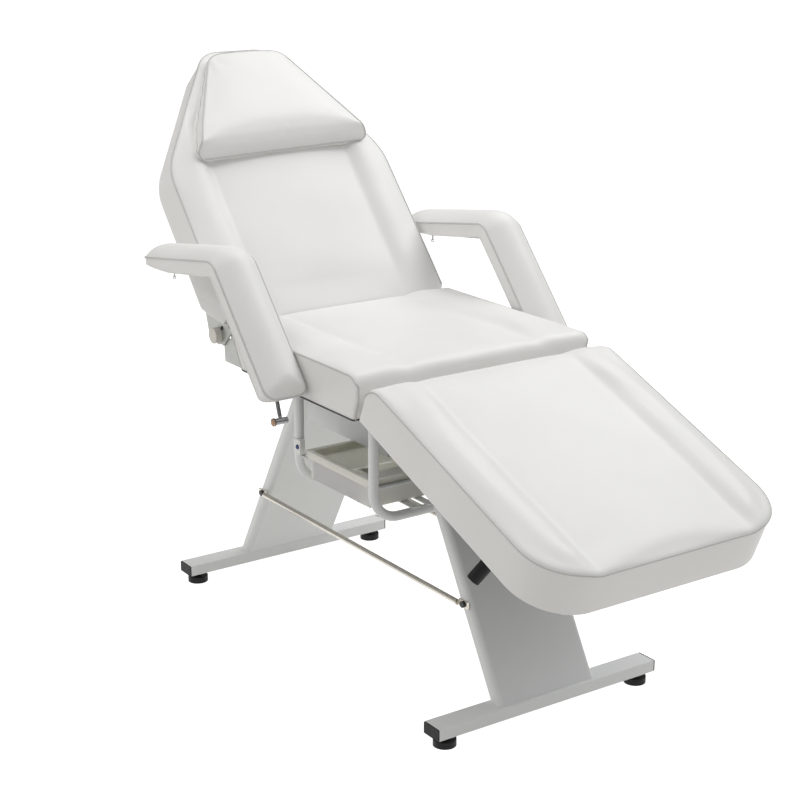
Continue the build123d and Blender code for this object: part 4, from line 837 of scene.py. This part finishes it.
def pillow_sloped(x, y, w):
    """Flare the side panels towards the back, and let the near lower corner sag."""
    flare_reach = 0.02
    flare_depth = 0.05
    corner_sag = 0.006
    share = head_share(x)
    half = pillow_half - pillow_narrowing * share
    depth = np.clip((pillow_depth - pillow_taper * share - w) / flare_depth, 0, 1)
    flare = flare_reach * depth * smoothstep(np.abs(y) / half * 3 - 2) * smoothstep(share * 9)
    sag = corner_sag * (1 - y / pillow_half) * smoothstep(1 - share * 3)
    return back_place(x + sag, y + np.sign(y) * flare + pillow_shift, w)


def gathered(share, run):
    """A side panel that is slightly gathered along its zip."""
    middle = 1 - np.abs(2 * share - 1)
    return -seam_sink + middle * (0.0011 * np.sin(run / 0.0062) + 0.0006 * np.sin(run / 0.0171))


pillow_skin, pillow_at, pillow_loop, pillow_across = cover(
    "pillow_cover", pillow_line, pillow_reach, pillow_cell, pillow_top, pillow_low, pillow_sloped, gathered,
    gusset_shares,
)
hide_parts("head_pillow")
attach(pillow_skin, "backrest")
swell(pillow_skin, pins(pillow_at, pillow_across, 0), pillow_pressure, pillow_growth)
pillow_seam = [pillow_at[i, j, 0] for i, j in pillow_loop]
cord_line("pillow_piping", pillow_skin, pillow_seam, piping_radius, "backrest")
cord_line("pillow_zip_seam", pillow_skin, pillow_at[6:-4, 0, zip_level], zip_radius, "backrest", closed=False)
finer(pillow_skin)

# Arm rests: a D-shaped foam pad in the same vinyl, which bends at the elbow, thins to
# a boat-shaped tip and ends in a thin rounded heel. One cord runs around its padded face.
arm_tilt = radians(48.7)
arm_rise = radians(8.5)
arm_side = 0.354
arm_half = 0.05
arm_heel_reach = 0.024
arm_face = 0.0147
elbow_reach = 0.308
elbow_radius = 0.04
arm_heel_radius = 0.025
arm_tip_radius = 0.03
lower_length = elbow_reach + arm_heel_reach
upper_length = 0.335
arm_cell = 0.006
arm_pressure = 1.2
arm_growth = 0.003
lower_seam_radius = 0.0013
arm_side_shares = [0.08, 0.24, 0.42, 0.6, 0.78, 0.93, 1.0]
arm_t = np.array([cos(arm_tilt), -sin(arm_tilt)])
arm_n = np.array([sin(arm_tilt), cos(arm_tilt)])
stub = np.array([0.019, 0.647])
heel_point = stub + arm_t * arm_heel_reach + arm_n * arm_face
elbow_point = stub - arm_t * elbow_reach + arm_n * arm_face
upper = np.array([-cos(arm_rise), -sin(arm_rise)])
roof = np.array([upper[1], -upper[0]])
bend_turn = pi - np.arccos(np.clip(arm_t @ upper, -1, 1))
bend_run = elbow_radius * np.tan(bend_turn / 2)
lower_run = lower_length - bend_run
arc_run = elbow_radius * bend_turn
arm_run = lower_run + arc_run + upper_length - bend_run
bend_middle = elbow_point + arm_t * bend_run - arm_n * elbow_radius


def arm_bent(side):
    """A placing function along the arm: up the lower part, round the elbow, to the tip."""
    def place(s, y, w):
        low = s <= lower_run
        high = s >= lower_run + arc_run
        turn = np.clip((s - lower_run) / arc_run, 0, 1) * bend_turn
        face = np.cos(turn)[:, None] * arm_n - np.sin(turn)[:, None] * arm_t
        arc = bend_middle + face * (elbow_radius + w)[:, None]
        straight = heel_point - arm_t * s[:, None] + arm_n * w[:, None]
        reach = bend_middle + roof * (elbow_radius + w)[:, None] + upper * (s - lower_run - arc_run)[:, None]
        spot = np.where(low[:, None], straight, np.where(high[:, None], reach, arc))
        return np.stack([spot[:, 0], side * arm_side + y, spot[:, 1]], axis=1)
    return place


def arm_top(s, y, edge):
    """A round crown between the two seams."""
    crown_radius = 0.0703
    crown_low = 0.0494
    crown_share = 1.3
    inward = arm_half - np.minimum(edge, arm_half)
    return crown_share * (np.sqrt(crown_radius**2 - inward**2) - crown_low)


def arm_low(s, y):
    """An underside that rises to the thin tip and round the heel."""
    tip_depth = 0.004
    full_depth = 0.026
    tip_run = 0.13
    heel_rise = 0.022
    heel_run = 0.024
    hang = 0.001
    hang_run = 0.1
    tip_share = np.clip((arm_run - s) / tip_run, 0, 1)
    heel_share = np.clip(s / heel_run, 0, 1)
    underside = -(tip_depth + full_depth * tip_share**0.5) + heel_rise * (1 - heel_share) ** 2.2
    return underside - hang * smoothstep((arm_run - s - tip_run) / hang_run)


def round_side(share, run):
    """A side panel that draws in slightly at its seams."""
    draw_in = 0.0014
    return draw_in * (1 - np.abs(2 * share - 1)) - draw_in


arm_line = rounded([
    (0, -arm_half, arm_heel_radius), (0, arm_half, arm_heel_radius),
    (arm_run, arm_half, arm_tip_radius), (arm_run, -arm_half, arm_tip_radius),
])
give_finish(vinyl, ["near_arm_pad", "far_arm_pad"])
for side, label in ((-1, "near"), (1, "far")):
    pad_skin, pad_at, pad_loop, pad_across = cover(
        f"{label}_arm_cover", arm_line, arm_line, arm_cell, arm_top, arm_low, arm_bent(side), round_side,
        arm_side_shares,
    )
    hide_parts(f"{label}_arm_pad")
    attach(pad_skin, f"{label}_arm")
    swell(pad_skin, pins(pad_at, pad_across, 0), arm_pressure, arm_growth)
    top_seam = [pad_at[i, j, 0] for i, j in pad_loop]
    low_seam = [pad_at[i, j, -1] for i, j in pad_loop]
    cord_line(f"{label}_arm_piping", pad_skin, top_seam, piping_radius, f"{label}_arm")
    cord_line(f"{label}_arm_lower_seam", pad_skin, low_seam, lower_seam_radius, f"{label}_arm", mat=vinyl)
    finer(pad_skin)

# Small metal parts: the clamp screws with their bronze ends and threads, the zip
# sliders and pulls with a ring, the bolts in the hinge plates and the clips' screws.
clamp_steel = surface(
    "clamp_steel", (0.34, 0.34, 0.35), 0.24, ("noise", 300, 0.00002), metal=1.0, mottle=0.06,
)
give_finish(clamp_steel, [
    "near_arm_screw", "far_arm_screw", "near_zip_slider", "far_zip_slider", "near_zip_pull", "far_zip_pull",
])
thread_steel = surface(
    "thread_steel", (0.15, 0.15, 0.155), 0.36, ("noise", 500, 0.00004), metal=0.9, mottle=0.1,
)
bronze = surface("bronze_end", (0.25, 0.16, 0.10), 0.3, ("noise", 300, 0.00002), metal=1.0, mottle=0.08)
blued_steel = surface("blued_screw", (0.05, 0.07, 0.16), 0.3, ("noise", 500, 0.00003), metal=0.8, mottle=0.1)


def turned(name, profile, place, direction, body, mat):
    """A round part turned from a profile of (radius, height) about an axis."""
    work = bmesh.new()
    ends = [work.verts.new((radius, 0, height)) for radius, height in profile]
    edges = [work.edges.new(pair) for pair in zip(ends, ends[1:])]
    bmesh.ops.spin(
        work, geom=ends + edges, cent=(0, 0, 0), axis=(0, 0, 1), angle=2 * pi, steps=28, use_merge=True,
    )
    bmesh.ops.remove_doubles(work, verts=work.verts, dist=1e-6)
    aim = Vector(direction).to_track_quat("Z", "Y").to_matrix().to_4x4()
    bmesh.ops.transform(work, matrix=Matrix.Translation(place) @ aim, verts=work.verts)
    obj = smooth_piece(name, work, mat)
    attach(obj, body)


screw_line = np.array([0.316, 0, -0.949])
screw_side = 0.369
handle_drop = 0.061
handle_half = 0.0149
thread_start = 0.0205
thread_end = 0.0517
thread_pitch = 0.0017
thread_root = 0.0041
thread_crest = 0.0047
ring_radius = 0.0032
ring_wire = 0.0009
ring_drop = 0.001
ring_turn = (0.6, -0.8, 0)
plate_bolt_place = (-0.3575, 0.2815, 0.6878)
clip_screw_place = (-0.072, 0.263, 0.483)
end_disc = [(0, 0), (0.0088, 0), (0.0088, 0.003), (0.0078, 0.0043), (0.004, 0.0048), (0, 0.0049)]
bolt_head = [
    (0, -0.002), (0.0052, -0.002), (0.0052, 0.0016), (0.0044, 0.0026), (0.0022, 0.0029), (0.002, 0.0014),
    (0, 0.0014),
]
thread = [(0, 0.02)]
for turn in range(18):
    height = thread_start + thread_pitch * turn
    thread += [(thread_root, height), (thread_crest, height + 0.0006), (thread_root, height + 0.0012)]
thread += [(0, thread_end)]
ring = [(ring_radius + ring_wire * cos(t), ring_wire * sin(t)) for t in np.linspace(0, 2 * pi, 13)]
for side, label in ((-1, "near"), (1, "far")):
    arm = f"{label}_arm"
    top = np.array([stub[0], side * screw_side, stub[1]])
    end_place = top + screw_line * handle_drop + (0, side * handle_half, 0)
    outwards = (0, side, 0)
    turned(f"{label}_screw_end", end_disc, end_place, outwards, arm, bronze)
    turned(f"{label}_screw_thread", thread, top, screw_line, arm, thread_steel)
    x, y, z = plate_bolt_place
    turned(f"{label}_plate_bolt", bolt_head, (x, side * y, z), outwards, "backrest", dark_steel)
    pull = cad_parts[f"{label}_zip_pull"]
    corners = np.array([pull.matrix_world @ Vector(corner) for corner in pull.bound_box])
    ring_place = (*corners.mean(axis=0)[:2], corners[:, 2].min() - ring_drop)
    turned(f"{label}_zip_ring", ring, ring_place, ring_turn, f"{label}_zip_pull", clamp_steel)
    x, y, z = clip_screw_place
    turned(f"{label}_clip_screw", bolt_head, (x, side * y, z), outwards, "base", blued_steel)
